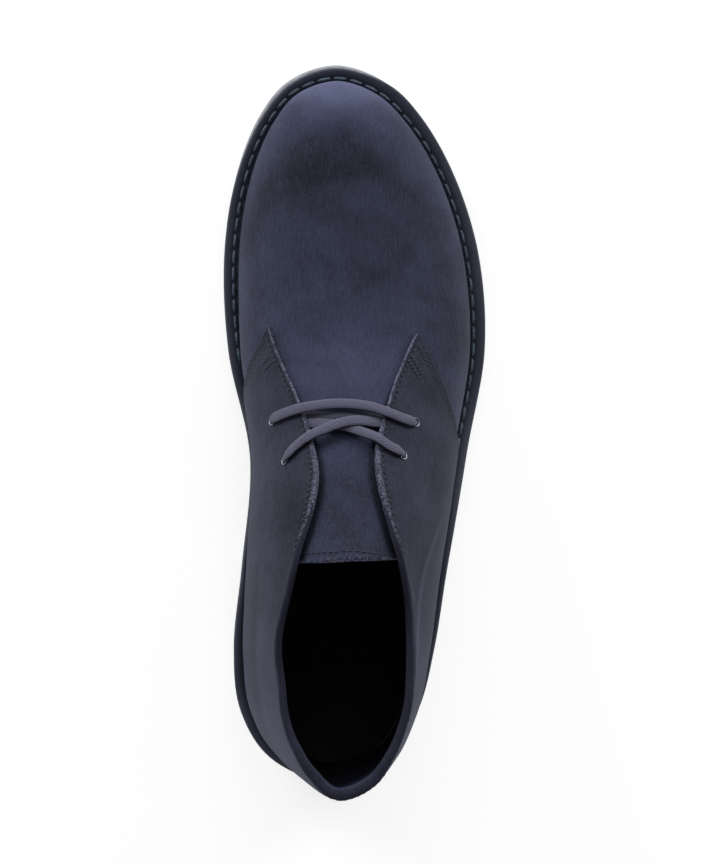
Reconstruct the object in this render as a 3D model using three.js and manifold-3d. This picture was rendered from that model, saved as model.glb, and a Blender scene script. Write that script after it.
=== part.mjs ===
// Chukka boot, right foot. Millimetres, +Z up, +Y toward the toe, +X toward the outer side.
// Every piece follows one closed sole outline and one last surface drawn over it.
import * as THREE from 'three';
import { mergeVertices } from 'three/addons/utils/BufferGeometryUtils.js';
import Module from 'manifold-3d';

// ---- driving dimensions ----
const SOLE_LENGTH = 300;        // toe tip to heel back
const SOLE_WIDTH = 111.5;       // unit of the outline widths, the tread width at the ball
const TOE_TIP_X = -8.5;         // sideways place of the toe tip
const HEEL_BACK_X = -13;        // sideways place of the heel back
const HEEL_HEIGHT = 17;         // heel block, ground to outsole
const OUTSOLE = 8;              // outsole thickness
const WELT = 3.5;               // welt thickness
const TOE_SPRING = 12;          // lift of the toe tip
const SPRING_START = 78;        // station where the toe begins to lift
const SPRING_POWER = 2.2;       // how late the toe lift comes
const ARCH_FRONT = 15;          // station where the waist begins to rise
const ARCH_LENGTH = 75;         // length of the rise from ball to heel
const GAP = 0.3;                // clearance between neighbouring pieces
const WALL = 2;                 // upper wall thickness
const QUARTER = 1.5;            // quarter leather thickness
const QUARTER_LIFT = 0.6;       // quarter above the upper's outer face
const TONGUE = 1.8;             // tongue thickness
const TONGUE_DROP = 0.6;        // tongue below the upper's inner face
const TONGUE_TUCK = 0.1;        // share of a section the tongue runs under each facing
const TONGUE_REACH = 0.87;      // highest facing share the tongue's tuck is measured from
const TONGUE_LEVEL = 0.0085;    // share the tongue's middle is drawn forward, to level its top edge
const TONGUE_CORNER = 0.7;      // share of the tongue's half width seen between the facings
const TONGUE_LEVEL_FROM = 0.52; // share of the side length where that drawing begins
const TONGUE_BLEND = 0.14;      // share over which the two halves of that drawing meet smoothly
const TONGUE_FRONT = 0.45;      // share of the side length where the tongue begins
const TONGUE_TOP = 0.658;       // share of the side length where the tongue ends
const THROAT_FRONT = 0.485;     // share of the side length where the throat opens
const THROAT_LENGTH = 0.05;     // share over which the throat reaches its full width
const TOE_RIDGE_END = 119;      // station of the foremost ridge point
const HEEL_RIDGE_END = -108;    // station of the rearmost ridge point
const RIDGE_BLEND = 9;          // softness of both ridge ends
const BACK_SEAM = 1e-3;         // half opening between the quarters at the heel, share of a side
const WELT_COVER = 1.5;         // welt seen inside the upper's foot
const WELT_SETBACK = 1.5;       // welt drawn in behind the outsole's edge round the toe
const SETBACK_LATERAL = 0.14;   // share of the outer side that the setback runs back
const SETBACK_MEDIAL = 0.32;    // share of the inner side that the setback runs back
const SETBACK_FADE = 0.75;      // share of that run over which it fades
const INSOLE_PROUD = 1;         // insole above the welt
const SOLE_BEVEL = 1.2;         // bevel of the outsole's lower edge
const HEEL_TAPER = 2.7;         // heel drawn in toward the ground
const BREAST_LATERAL = 0.668;   // heel front on the outer side, share of the side length
const BREAST_MEDIAL = 0.652;    // heel front on the inner side
const EYELET_BORE = 1.5;        // eyelet inner radius
const EYELET_TUBE = 1.9;        // eyelet barrel radius
const EYELET_FLANGE = 2.4;      // eyelet rim radius
const EYELET_RIM = 0.5;         // eyelet rim thickness at its outer edge
const EYELET_CROWN = 0.8;       // eyelet rim thickness at its bore
const EYELET_HOLE = 2.2;        // hole cut through quarter and upper
const EYELET_HOLE_LENGTH = 12;  // length of the cutter for that hole
const LACE_WIDTH = 4.4;         // flat lace, across
const LACE_THICK = 1.6;         // flat lace, through

// ---- sole outline: along from the heel, inner and outer half widths ----
const OUTLINE = [
  { along: 0.033, medial: 0.330, lateral: 0.122 },
  { along: 0.100, medial: 0.440, lateral: 0.232 },
  { along: 0.183, medial: 0.463, lateral: 0.290 },
  { along: 0.300, medial: 0.432, lateral: 0.341 },
  { along: 0.450, medial: 0.399, lateral: 0.420 },
  { along: 0.600, medial: 0.480, lateral: 0.496 },
  { along: 0.740, medial: 0.495, lateral: 0.471 },
  { along: 0.850, medial: 0.448, lateral: 0.376 },
  { along: 0.930, medial: 0.364, lateral: 0.247 },
  { along: 0.978, medial: 0.256, lateral: 0.110 },
];

// ---- last sections, one row per station from toe tip (0) to heel back (1) ----
// ledge: welt outside the upper; bulge: lean of the wall over it; rise: height of that lean;
// full: how far the section stays wide; drop: fall beside the ridge; crown: ridge height.
const SECTIONS = [
  { at: 0.00, ledgeL: 6.8, ledgeM: 6.8, bulgeL: 3.0, bulgeM: 3.0, rise: 15, fullL: 0.60, fullM: 0.60, drop: 0, crown: 51 },
  { at: 0.10, ledgeL: 7.0, ledgeM: 6.6, bulgeL: 2.5, bulgeM: 2.5, rise: 16.5, fullL: 0.60, fullM: 0.60, drop: 0, crown: 51.6 },
  { at: 0.18, ledgeL: 7.2, ledgeM: 6.4, bulgeL: 2.0, bulgeM: 2.0, rise: 20.5, fullL: 0.60, fullM: 0.60, drop: 0, crown: 54.4 },
  { at: 0.27, ledgeL: 7.4, ledgeM: 6.3, bulgeL: 2.0, bulgeM: 2.0, rise: 26, fullL: 0.60, fullM: 0.60, drop: 0, crown: 59.6 },
  { at: 0.35, ledgeL: 7.5, ledgeM: 6.2, bulgeL: 2.0, bulgeM: 3.0, rise: 31, fullL: 0.58, fullM: 0.60, drop: 0, crown: 66 },
  { at: 0.43, ledgeL: 7.2, ledgeM: 5.4, bulgeL: 2.0, bulgeM: 6.0, rise: 35, fullL: 0.55, fullM: 0.62, drop: 0, crown: 74.5 },
  { at: 0.52, ledgeL: 6.6, ledgeM: 4.2, bulgeL: 2.0, bulgeM: 9.0, rise: 39, fullL: 0.53, fullM: 0.68, drop: 0, crown: 90 },
  { at: 0.58, ledgeL: 6.2, ledgeM: 3.6, bulgeL: 2.0, bulgeM: 8.0, rise: 41, fullL: 0.53, fullM: 0.75, drop: 0, crown: 104 },
  { at: 0.64, ledgeL: 5.8, ledgeM: 3.5, bulgeL: 2.0, bulgeM: 6.0, rise: 41, fullL: 0.50, fullM: 0.75, drop: 1, crown: 119 },
  { at: 0.69, ledgeL: 5.4, ledgeM: 4.0, bulgeL: 2.0, bulgeM: 4.0, rise: 41, fullL: 0.39, fullM: 0.62, drop: 6, crown: 135 },
  { at: 0.75, ledgeL: 5.0, ledgeM: 5.3, bulgeL: 2.0, bulgeM: 3.0, rise: 41, fullL: 0.38, fullM: 0.55, drop: 12, crown: 156 },
  { at: 0.82, ledgeL: 4.6, ledgeM: 6.1, bulgeL: 2.5, bulgeM: 3.0, rise: 41, fullL: 0.46, fullM: 0.26, drop: 14, crown: 174 },
  { at: 0.91, ledgeL: 4.2, ledgeM: 6.2, bulgeL: 4.0, bulgeM: 4.0, rise: 42, fullL: 0.53, fullM: 0.39, drop: 12, crown: 186 },
  { at: 0.955, ledgeL: 4.1, ledgeM: 5.6, bulgeL: 5.3, bulgeM: 5.9, rise: 43, fullL: 0.87, fullM: 0.66, drop: 10.8, crown: 189 },
  { at: 1.00, ledgeL: 4.0, ledgeM: 4.4, bulgeL: 6.1, bulgeM: 6.1, rise: 44, fullL: 0.99, fullM: 0.99, drop: 10, crown: 190 },
];

// ---- quarter edges: height shares up each section, one row per station ----
const FACING_LATERAL = [
  { at: 0.397, up: 0.661 }, { at: 0.425, up: 0.718 }, { at: 0.443, up: 0.747 },
  { at: 0.461, up: 0.776 }, { at: 0.488, up: 0.808 }, { at: 0.516, up: 0.846 },
  { at: 0.539, up: 0.868 }, { at: 0.563, up: 0.867 }, { at: 0.583, up: 0.848 },
  { at: 0.611, up: 0.805 }, { at: 0.636, up: 0.749 }, { at: 0.665, up: 0.658 },
  { at: 0.700, up: 0.571 }, { at: 0.740, up: 0.523 }, { at: 0.780, up: 0.496 },
  { at: 0.825, up: 0.480 }, { at: 0.900, up: 0.460 }, { at: 1.000, up: 0.453 },
];
const FACING_MEDIAL = [
  { at: 0.387, up: 0.537 }, { at: 0.422, up: 0.602 }, { at: 0.443, up: 0.647 },
  { at: 0.464, up: 0.690 }, { at: 0.486, up: 0.730 }, { at: 0.512, up: 0.772 },
  { at: 0.535, up: 0.802 }, { at: 0.554, up: 0.823 }, { at: 0.572, up: 0.824 },
  { at: 0.596, up: 0.805 }, { at: 0.621, up: 0.767 }, { at: 0.645, up: 0.714 },
  { at: 0.672, up: 0.650 }, { at: 0.700, up: 0.590 }, { at: 0.740, up: 0.524 },
  { at: 0.780, up: 0.482 }, { at: 0.825, up: 0.462 }, { at: 0.900, up: 0.456 },
  { at: 1.000, up: 0.453 },
];
const WING_LATERAL = [
  { at: 0.397, up: 0.661 }, { at: 0.429, up: 0.588 }, { at: 0.448, up: 0.533 },
  { at: 0.465, up: 0.476 }, { at: 0.487, up: 0.399 }, { at: 0.507, up: 0.320 },
  { at: 0.530, up: 0.210 }, { at: 0.544, up: 0.120 }, { at: 0.558, up: 0.016 },
];
const WING_MEDIAL = [
  { at: 0.387, up: 0.537 }, { at: 0.413, up: 0.454 }, { at: 0.430, up: 0.371 },
  { at: 0.447, up: 0.296 }, { at: 0.466, up: 0.205 }, { at: 0.486, up: 0.110 },
  { at: 0.508, up: 0.016 },
];

// ---- eyelets: station and height share ----
const EYELETS = [
  { name: 'eyelet_medial_front', side: -1, at: 0.504, up: 0.534 },
  { name: 'eyelet_medial_rear', side: -1, at: 0.549, up: 0.620 },
  { name: 'eyelet_lateral_front', side: 1, at: 0.509, up: 0.655 },
  { name: 'eyelet_lateral_rear', side: 1, at: 0.546, up: 0.722 },
];

// ---- lace runs between the eyelets: place on the last and lift of the lace's middle ----
const LACE_BAR = [
  { u: -0.504, up: 0.575, lift: 4.9 },
  { u: -0.496, up: 0.666, lift: 3.9 },
  { u: -0.491, up: 0.778, lift: 3.6 },
  { u: -0.487, up: 0.942, lift: 2.8 },
  { u: 0.490, up: 0.921, lift: 2.9 },
  { u: 0.498, up: 0.824, lift: 3.7 },
  { u: 0.505, up: 0.752, lift: 3.9 },
  { u: 0.512, up: 0.685, lift: 4.9 },
];
const LACE_OVER = [
  { u: 0.507, up: 0.868, lift: 1.8 },
  { u: 0.506, up: 0.963, lift: 2.6 },
  { u: -0.509, up: 0.960, lift: 2.9 },
  { u: -0.516, up: 0.874, lift: 3.2 },
  { u: -0.524, up: 0.790, lift: 3.8 },
  { u: -0.534, up: 0.712, lift: 3.9 },
  { u: -0.547, up: 0.660, lift: 4.9 },
];
const LACE_UNDER = [
  { u: -0.506, up: 0.800, lift: 1.8 },
  { u: -0.508, up: 0.888, lift: 1.7 },
  { u: -0.511, up: 0.985, lift: 1.7 },
  { u: 0.518, up: 0.942, lift: 2.2 },
  { u: 0.527, up: 0.871, lift: 3.6 },
  { u: 0.537, up: 0.806, lift: 3.9 },
  { u: 0.545, up: 0.760, lift: 4.9 },
];

// ---- station grid: end of each zone and columns in it ----
const ZONES = [
  { end: 0.36, columns: 10 },
  { end: 0.56, columns: 14 },
  { end: 0.68, columns: 6 },
  { end: 1.00, columns: 12 },
];
const UPPER_ROWS = 10;
const QUARTER_ROWS = 8;
const TONGUE_COLUMNS = 10;
const SOLE_COLUMNS = 4;
const CLOSE_STATIONS = 1e-3;     // stations nearer than this are one
const SIDE_SAMPLES = 400;
const SEGMENTS = 12;             // facets round an eyelet
const LACE_SIDES = 8;            // facets round the lace
const LACE_STEPS = 13;           // sections along one lace run

// ---- finishes ----
const finish = (color, roughness, metalness = 0) => new THREE.MeshStandardMaterial({ color, roughness, metalness });
const SUEDE = finish(0x34384a, 0.95);
const SUEDE_LIGHT = finish(0x43465a, 0.95);
const RUBBER = finish(0x3a383c, 0.8);
const WELT_DARK = finish(0x292c35, 0.7);
const LINING = finish(0x101012, 0.85);
const CORD = finish(0x3c3e4e, 0.9);
const METAL = finish(0x2a2d3a, 0.35, 1);

// ---- curves ----
const clamp = (value, low, high) => Math.min(Math.max(value, low), high);
const mix = (a, b, share) => a + (b - a) * share;
const ease = (share) => share * share * (3 - 2 * share);

// Smooth curve through the rows of a table, read at one station; level at both ends unless left free.
function follow(rows, column, at, free = false) {
  const place = clamp(at, rows[0].at, rows[rows.length - 1].at);
  let i = rows.findIndex((row) => row.at > place) - 1;
  if (i < 0) i = rows.length - 2;
  const slope = (k) => {
    const atEnd = k === 0 || k === rows.length - 1;
    if (atEnd && !free) return 0;
    const before = rows[Math.max(k - 1, 0)];
    const after = rows[Math.min(k + 1, rows.length - 1)];
    return (after[column] - before[column]) / (after.at - before.at);
  };
  const span = rows[i + 1].at - rows[i].at;
  const s = (place - rows[i].at) / span;
  const start = rows[i][column] * (2 * s ** 3 - 3 * s ** 2 + 1) + slope(i) * span * (s ** 3 - 2 * s ** 2 + s);
  const end = rows[i + 1][column] * (3 * s ** 2 - 2 * s ** 3) + slope(i + 1) * span * (s ** 3 - s ** 2);
  return start + end;
}

// ---- sole outline as one closed curve, toe first, outer side next ----
const station = (along) => (along - 0.5) * SOLE_LENGTH;
const outlineCurve = new THREE.CatmullRomCurve3([
  new THREE.Vector3(TOE_TIP_X, SOLE_LENGTH / 2, 0),
  ...OUTLINE.map((row) => new THREE.Vector3(row.lateral * SOLE_WIDTH, station(row.along), 0)).reverse(),
  new THREE.Vector3(HEEL_BACK_X, -SOLE_LENGTH / 2, 0),
  ...OUTLINE.map((row) => new THREE.Vector3(-row.medial * SOLE_WIDTH, station(row.along), 0)),
], true, 'centripetal');

// Curve parameter against distance walked along one side, toe to heel.
function walkSide(direction) {
  const walk = [{ at: 0, t: 0 }];
  let last = outlineCurve.getPoint(0);
  for (let i = 1; i <= SIDE_SAMPLES; i += 1) {
    const t = 0.5 * i / SIDE_SAMPLES;
    const point = outlineCurve.getPoint(direction > 0 ? t : 1 - t);
    walk.push({ at: walk[i - 1].at + point.distanceTo(last), t });
    last = point;
  }
  const total = walk[SIDE_SAMPLES].at;
  return walk.map((step) => ({ at: step.at / total, t: step.t }));
}
const WALK = { lateral: walkSide(1), medial: walkSide(-1) };

// Point of the outline: u is +share on the outer side and -share on the inner, 0 toe, 1 heel.
function outlinePoint(u) {
  const wrapped = ((u + 1) % 2 + 2) % 2 - 1;
  const share = Math.abs(wrapped);
  const walk = wrapped >= 0 ? WALK.lateral : WALK.medial;
  const i = Math.max(walk.findIndex((step) => step.at >= share), 1);
  const s = (share - walk[i - 1].at) / (walk[i].at - walk[i - 1].at);
  const t = mix(walk[i - 1].t, walk[i].t, s);
  return outlineCurve.getPoint(wrapped >= 0 ? t : (1 - t) % 1);
}

// Outline drawn inward by a distance.
function rim(u, inset) {
  const step = 1e-3;
  const along = outlinePoint(u + step).sub(outlinePoint(u - step)).normalize();
  return outlinePoint(u).add(new THREE.Vector3(along.y, -along.x, 0).multiplyScalar(inset));
}

const sideOf = (u) => (((u + 1) % 2 + 2) % 2 - 1 >= 0 ? 'L' : 'M');
const shareOf = (u) => Math.abs(((u + 1) % 2 + 2) % 2 - 1);
const section = (name, u) => follow(SECTIONS, name, shareOf(u));
const sided = (name, u) => section(name + sideOf(u), u);

// Underside of the outsole: toe spring, flat tread, arch and heel seat.
function underside(y) {
  const spring = TOE_SPRING * Math.max((y - SPRING_START) / (SOLE_LENGTH / 2 - SPRING_START), 0) ** SPRING_POWER;
  return spring + HEEL_HEIGHT * ease(clamp((ARCH_FRONT - y) / ARCH_LENGTH, 0, 1));
}
const WELT_TOP = OUTSOLE + GAP + WELT;
const feather = (u) => rim(u, sided('ledge', u));

// ---- last surface: u around the boot, v from the feather edge (0) over to the ridge (1) ----
const AXIS = [
  { at: -150, x: -12.5 },
  { at: -60, x: -7.7 },
  { at: 60, x: -7.7 },
  { at: 150, x: -8.5 },
];
const softMin = (a, b) => -RIDGE_BLEND * Math.log(Math.exp(-a / RIDGE_BLEND) + Math.exp(-b / RIDGE_BLEND));
const softMax = (a, b) => -softMin(-a, -b);

function last(u, v) {
  const foot = feather(u);
  const across = feather(-u);
  const ridgeY = softMax(softMin((foot.y + across.y) / 2, TOE_RIDGE_END), HEEL_RIDGE_END);
  const crown = section('crown', u);
  const base = underside(foot.y) + WELT_TOP + GAP;
  const top = new THREE.Vector3(follow(AXIS, 'x', ridgeY), ridgeY, crown);
  const reach = new THREE.Vector3(foot.x - top.x, foot.y - top.y, 0);
  const lean = reach.clone().setLength(sided('bulge', u));
  const start = new THREE.Vector3(foot.x, foot.y, base);
  const lower = start.clone().add(lean).setZ(base + section('rise', u));
  const upper = top.clone().addScaledVector(reach, sided('full', u)).setZ(crown - section('drop', u));
  return new THREE.CubicBezierCurve3(start, lower, upper, top).getPoint(v);
}

// Outward direction of the last surface.
function lastNormal(u, v) {
  const step = 2e-3;
  const low = Math.max(v - step, 0);
  const high = Math.min(v + step, 1);
  const around = last(u + step, v).sub(last(u - step, v));
  const up = last(u, high).sub(last(u, low));
  return up.cross(around).normalize();
}
const offLast = (u, v, distance) => last(u, v).addScaledVector(lastNormal(u, v), distance);

const stations = (from, to) => {
  const list = [0];
  let start = 0;
  for (const zone of ZONES) {
    for (let i = 1; i <= zone.columns; i += 1) list.push(mix(start, zone.end, i / zone.columns));
    start = zone.end;
  }
  const inside = list.filter((at) => at > from + 2e-3 && at < to - 2e-3);
  return [from, ...inside, to];
};

// ---- solids ----
// Triangulated grid of points, optionally closed on itself along the first direction.
function sheet(grid, wrap = false) {
  const columns = grid.length;
  const rows = grid[0].length;
  const positions = grid.flat().flatMap((point) => [point.x, point.y, point.z]);
  const index = [];
  for (let i = 0; i < (wrap ? columns : columns - 1); i += 1) {
    for (let j = 0; j < rows - 1; j += 1) {
      const a = i * rows + j;
      const b = ((i + 1) % columns) * rows + j;
      index.push(a, a + 1, b, b, a + 1, b + 1);
    }
  }
  const geometry = new THREE.BufferGeometry();
  geometry.setAttribute('position', new THREE.Float32BufferAttribute(positions, 3));
  geometry.setIndex(index);
  return dropSlivers(mergeVertices(geometry, 1e-3));
}

// Removes triangles whose corners have been welded together.
function dropSlivers(geometry) {
  const index = Array.from(geometry.index.array);
  const kept = [];
  for (let i = 0; i < index.length; i += 3) {
    const [a, b, c] = index.slice(i, i + 3);
    if (a !== b && b !== c && c !== a) kept.push(a, b, c);
  }
  geometry.setIndex(kept);
  return geometry;
}

// Six times the enclosed volume; its sign tells which way the faces look.
function enclosed(positions, index) {
  const corner = (k) => new THREE.Vector3(...positions.slice(3 * index[k], 3 * index[k] + 3));
  let total = 0;
  for (let i = 0; i < index.length; i += 3) total += corner(i).dot(corner(i + 1).cross(corner(i + 2)));
  return total;
}

function closedGeometry(positions, index) {
  const faces = index.slice();
  if (enclosed(positions, faces) < 0) faces.reverse();
  const geometry = new THREE.BufferGeometry();
  geometry.setAttribute('position', new THREE.Float32BufferAttribute(positions, 3));
  geometry.setIndex(faces);
  return geometry;
}

// Closes two matching sheets along every open edge of the first.
function joinSheets(face, back) {
  const index = Array.from(face.index.array);
  const count = face.attributes.position.count;
  const used = new Set();
  for (let i = 0; i < index.length; i += 3) {
    for (let k = 0; k < 3; k += 1) used.add(`${index[i + k]}_${index[i + (k + 1) % 3]}`);
  }
  const faces = index.slice();
  for (let i = 0; i < index.length; i += 3) {
    const [a, b, c] = index.slice(i, i + 3);
    faces.push(a + count, c + count, b + count);
    for (const [p, q] of [[a, b], [b, c], [c, a]]) {
      if (!used.has(`${q}_${p}`)) faces.push(p, p + count, q, q, p + count, q + count);
    }
  }
  const positions = [...face.attributes.position.array, ...back.attributes.position.array];
  return closedGeometry(positions, faces);
}

// A wall grown from a sheet along its own averaged normals.
function thicken(face, distance) {
  const back = face.clone();
  back.computeVertexNormals();
  const position = back.attributes.position;
  const normal = back.attributes.normal;
  for (let i = 0; i < position.count; i += 1) {
    position.setXYZ(
      i,
      position.getX(i) + normal.getX(i) * distance,
      position.getY(i) + normal.getY(i) * distance,
      position.getZ(i) + normal.getZ(i) * distance,
    );
  }
  return joinSheets(face, back);
}

// Plate between the two sides of the outline, with rows of matching inner and outer stations.
function plate(pairs, layers) {
  const level = (layer) => pairs.map(([inner, outer]) => {
    const left = rim(-inner, layer.inset(-inner));
    const right = rim(outer, layer.inset(outer));
    return Array.from({ length: SOLE_COLUMNS + 1 }, (_, j) => {
      const point = left.clone().lerp(right, j / SOLE_COLUMNS);
      return point.setZ(layer.height(point.y));
    });
  });
  const grids = layers.map(level);
  const edge = (grid) => [
    ...grid.map((row) => row[0]),
    ...grid[grid.length - 1].slice(1),
    ...grid.map((row) => row[SOLE_COLUMNS]).reverse().slice(1),
    ...grid[0].slice(1, -1).reverse(),
  ];
  const rings = grids.map(edge);
  const wall = rings[0].map((_, i) => rings.map((ring) => ring[i]));
  const pieces = [sheet(grids[0]), sheet(wall, true), sheet(grids[grids.length - 1])];
  const positions = [];
  const index = [];
  const turns = [false, true, true];
  pieces.forEach((piece, k) => {
    const start = positions.length / 3;
    const order = Array.from(piece.index.array);
    if (turns[k]) order.reverse();
    positions.push(...piece.attributes.position.array);
    index.push(...order.map((i) => i + start));
  });
  const joined = new THREE.BufferGeometry();
  joined.setAttribute('position', new THREE.Float32BufferAttribute(positions, 3));
  joined.setIndex(index);
  const welded = dropSlivers(mergeVertices(joined, 1e-3));
  return closedGeometry(Array.from(welded.attributes.position.array), Array.from(welded.index.array));
}

// Ring following the outline, cut square between two insets.
function ringStrip(outer, inner, bottom, top) {
  const ats = stations(0, 1);
  const us = [...ats, ...ats.slice(1, -1).reverse().map((at) => -at)];
  const grid = us.map((u) => {
    const out = rim(u, outer(u));
    const inn = rim(u, inner(u));
    const corner = (point, height) => point.clone().setZ(height(point.y));
    return [corner(out, bottom), corner(out, top), corner(inn, top), corner(inn, bottom), corner(out, bottom)];
  });
  const ring = sheet(grid, true);
  return closedGeometry(Array.from(ring.attributes.position.array), Array.from(ring.index.array));
}

// ---- boolean helpers ----
const wasm = await Module();
wasm.setup();

function toManifold(source) {
  const bare = source.clone();
  bare.deleteAttribute('normal');
  bare.deleteAttribute('uv');
  const welded = mergeVertices(bare, 1e-4);
  return new wasm.Manifold(new wasm.Mesh({
    numProp: 3,
    vertProperties: new Float32Array(welded.attributes.position.array),
    triVerts: new Uint32Array(welded.index.array),
  }));
}

function fromManifold(body) {
  const mesh = body.getMesh();
  const geometry = new THREE.BufferGeometry();
  geometry.setAttribute('position', new THREE.BufferAttribute(new Float32Array(mesh.vertProperties), 3));
  geometry.setIndex(new THREE.BufferAttribute(new Uint32Array(mesh.triVerts), 1));
  return geometry;
}

// ---- sole ----
const flush = () => 0;
const heights = {
  under: (y) => underside(y),
  underEdge: (y) => underside(y) + SOLE_BEVEL,
  outsoleTop: (y) => underside(y) + OUTSOLE,
  weltUnder: (y) => underside(y) + OUTSOLE + GAP,
  weltTop: (y) => underside(y) + WELT_TOP,
  insoleTop: (y) => underside(y) + WELT_TOP + INSOLE_PROUD,
};
const weltOuter = (u) => {
  const run = sideOf(u) === 'L' ? SETBACK_LATERAL : SETBACK_MEDIAL;
  return WELT_SETBACK * ease(clamp((run - shareOf(u)) / (run * SETBACK_FADE), 0, 1));
};
const weltInner = (u) => sided('ledge', u) + WALL + WELT_COVER;
const pairsBetween = (inner, outer) => {
  const shares = stations(outer, 1).map((at) => (at - outer) / (1 - outer));
  return shares.map((share) => [mix(inner, 1, share), mix(outer, 1, share)]);
};
const wholeFoot = pairsBetween(0, 0);
const heelFoot = pairsBetween(BREAST_MEDIAL, BREAST_LATERAL);

const outsole = plate(wholeFoot, [
  { inset: () => SOLE_BEVEL, height: heights.under },
  { inset: flush, height: heights.underEdge },
  { inset: flush, height: heights.outsoleTop },
]);
const heel = plate(heelFoot, [
  { inset: () => HEEL_TAPER, height: () => 0 },
  { inset: () => SOLE_BEVEL, height: (y) => underside(y) - GAP },
]);
const welt = ringStrip(weltOuter, weltInner, heights.weltUnder, heights.weltTop);
const insole = plate(wholeFoot, [
  { inset: (u) => weltInner(u) + GAP, height: heights.weltUnder },
  { inset: (u) => weltInner(u) + GAP, height: heights.insoleTop },
]);

// ---- upper, quarters and tongue ----
const facing = (u) => follow(sideOf(u) === 'L' ? FACING_LATERAL : FACING_MEDIAL, 'up', shareOf(u), true);
const wing = (u) => {
  const rows = sideOf(u) === 'L' ? WING_LATERAL : WING_MEDIAL;
  return follow(rows, 'up', shareOf(u), true);
};

// Top edge of the upper wall: closed over the ridge in front of the throat.
function upperEdge(u) {
  const share = clamp((shareOf(u) - THROAT_FRONT) / THROAT_LENGTH, 0, 1);
  return mix(1, facing(u), ease(share));
}

function upperSheet() {
  const ats = stations(0, 1);
  const us = [...ats, ...ats.slice(1, -1).reverse().map((at) => -at)];
  return sheet(us.map((u) => Array.from({ length: UPPER_ROWS + 1 }, (_, j) => last(u, upperEdge(u) * j / UPPER_ROWS))), true);
}

function quarterSheet(side) {
  const tip = side > 0 ? FACING_LATERAL[0].at : FACING_MEDIAL[0].at;
  const extra = (side > 0 ? WING_LATERAL : WING_MEDIAL).slice(1).map((row) => row.at);
  const ats = [...stations(tip, 1 - BACK_SEAM), ...extra].sort((a, b) => a - b);
  const us = ats.filter((at, i) => i === 0 || at - ats[i - 1] > CLOSE_STATIONS).map((at) => side * at);
  if (side < 0) us.reverse();
  return sheet(us.map((u) => {
    return Array.from({ length: QUARTER_ROWS + 1 }, (_, j) => offLast(u, mix(wing(u), facing(u), j / QUARTER_ROWS), QUARTER_LIFT));
  }));
}

function tongueSheet() {
  return sheet(stations(TONGUE_FRONT, TONGUE_TOP).reverse().map((at) => Array.from({ length: TONGUE_COLUMNS + 1 }, (_, j) => {
    const across = 2 * j / TONGUE_COLUMNS - 1;
    const level = ease(clamp((at - TONGUE_LEVEL_FROM) / (TONGUE_TOP - TONGUE_LEVEL_FROM), 0, 1));
    const place = at - TONGUE_LEVEL * level * (1 - Math.hypot(across, TONGUE_BLEND) / TONGUE_CORNER);
    const u = across < 0 ? -place : place;
    const tuck = Math.min(facing(u), TONGUE_REACH) - TONGUE_TUCK;
    return offLast(u, mix(1, tuck, Math.abs(across)), -WALL - TONGUE_DROP);
  })));
}

// ---- eyelets ----
const LATHE_PROFILE = [
  { r: EYELET_BORE, z: -WALL },
  { r: EYELET_TUBE, z: -WALL },
  { r: EYELET_TUBE, z: QUARTER + QUARTER_LIFT + GAP },
  { r: EYELET_FLANGE, z: QUARTER + QUARTER_LIFT + GAP },
  { r: EYELET_FLANGE, z: QUARTER + QUARTER_LIFT + GAP + EYELET_RIM },
  { r: EYELET_BORE, z: QUARTER + QUARTER_LIFT + GAP + EYELET_CROWN },
  { r: EYELET_BORE, z: -WALL },
];

function standUp(geometry, eyelet) {
  const u = eyelet.side * eyelet.at;
  const turn = new THREE.Quaternion().setFromUnitVectors(new THREE.Vector3(0, 1, 0), lastNormal(u, eyelet.up));
  return geometry.applyQuaternion(turn).translate(...last(u, eyelet.up).toArray());
}
const eyeletRing = (eyelet) => {
  const profile = LATHE_PROFILE.map((point) => new THREE.Vector2(point.r, point.z));
  return standUp(new THREE.LatheGeometry(profile, SEGMENTS), eyelet);
};
const eyeletHole = (eyelet) => standUp(new THREE.CylinderGeometry(EYELET_HOLE, EYELET_HOLE, EYELET_HOLE_LENGTH, SEGMENTS), eyelet);

function pierce(geometry, side) {
  let body = toManifold(geometry);
  for (const eyelet of EYELETS.filter((item) => side === 0 || item.side === side)) {
    body = body.subtract(toManifold(eyeletHole(eyelet)));
  }
  return fromManifold(body);
}

const upper = pierce(thicken(upperSheet(), -WALL), 0);
const quarterLateral = pierce(thicken(quarterSheet(1), QUARTER), 1);
const quarterMedial = pierce(thicken(quarterSheet(-1), QUARTER), -1);
const tongue = thicken(tongueSheet(), -TONGUE);

// ---- lace ----
// Flat oval cord along a run, lying square to the last below it.
function laceRun(rows) {
  const path = new THREE.CatmullRomCurve3(rows.map((row) => offLast(row.u, row.up, row.lift)));
  const lean = new THREE.CatmullRomCurve3(rows.map((row) => lastNormal(row.u, row.up)));
  const rings = Array.from({ length: LACE_STEPS + 1 }, (_, i) => {
    const t = i / LACE_STEPS;
    const along = path.getTangent(t);
    const across = along.clone().cross(lean.getPoint(t)).normalize();
    const above = across.clone().cross(along).normalize();
    return Array.from({ length: LACE_SIDES }, (_ignored, k) => {
      const turn = 2 * Math.PI * k / LACE_SIDES;
      return path.getPoint(t)
        .addScaledVector(across, Math.cos(turn) * LACE_WIDTH / 2)
        .addScaledVector(above, Math.sin(turn) * LACE_THICK / 2);
    });
  });
  const middle = (ring) => ring.reduce((sum, point) => sum.add(point), new THREE.Vector3()).divideScalar(LACE_SIDES);
  const first = Array(LACE_SIDES).fill(middle(rings[0]));
  const end = Array(LACE_SIDES).fill(middle(rings[LACE_STEPS]));
  const all = [first, ...rings, end];
  const body = sheet(Array.from({ length: LACE_SIDES }, (_, k) => all.map((ring) => ring[k])), true);
  return closedGeometry(Array.from(body.attributes.position.array), Array.from(body.index.array));
}
const laceCrossing = fromManifold(toManifold(laceRun(LACE_OVER)).add(toManifold(laceRun(LACE_UNDER))));

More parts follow.
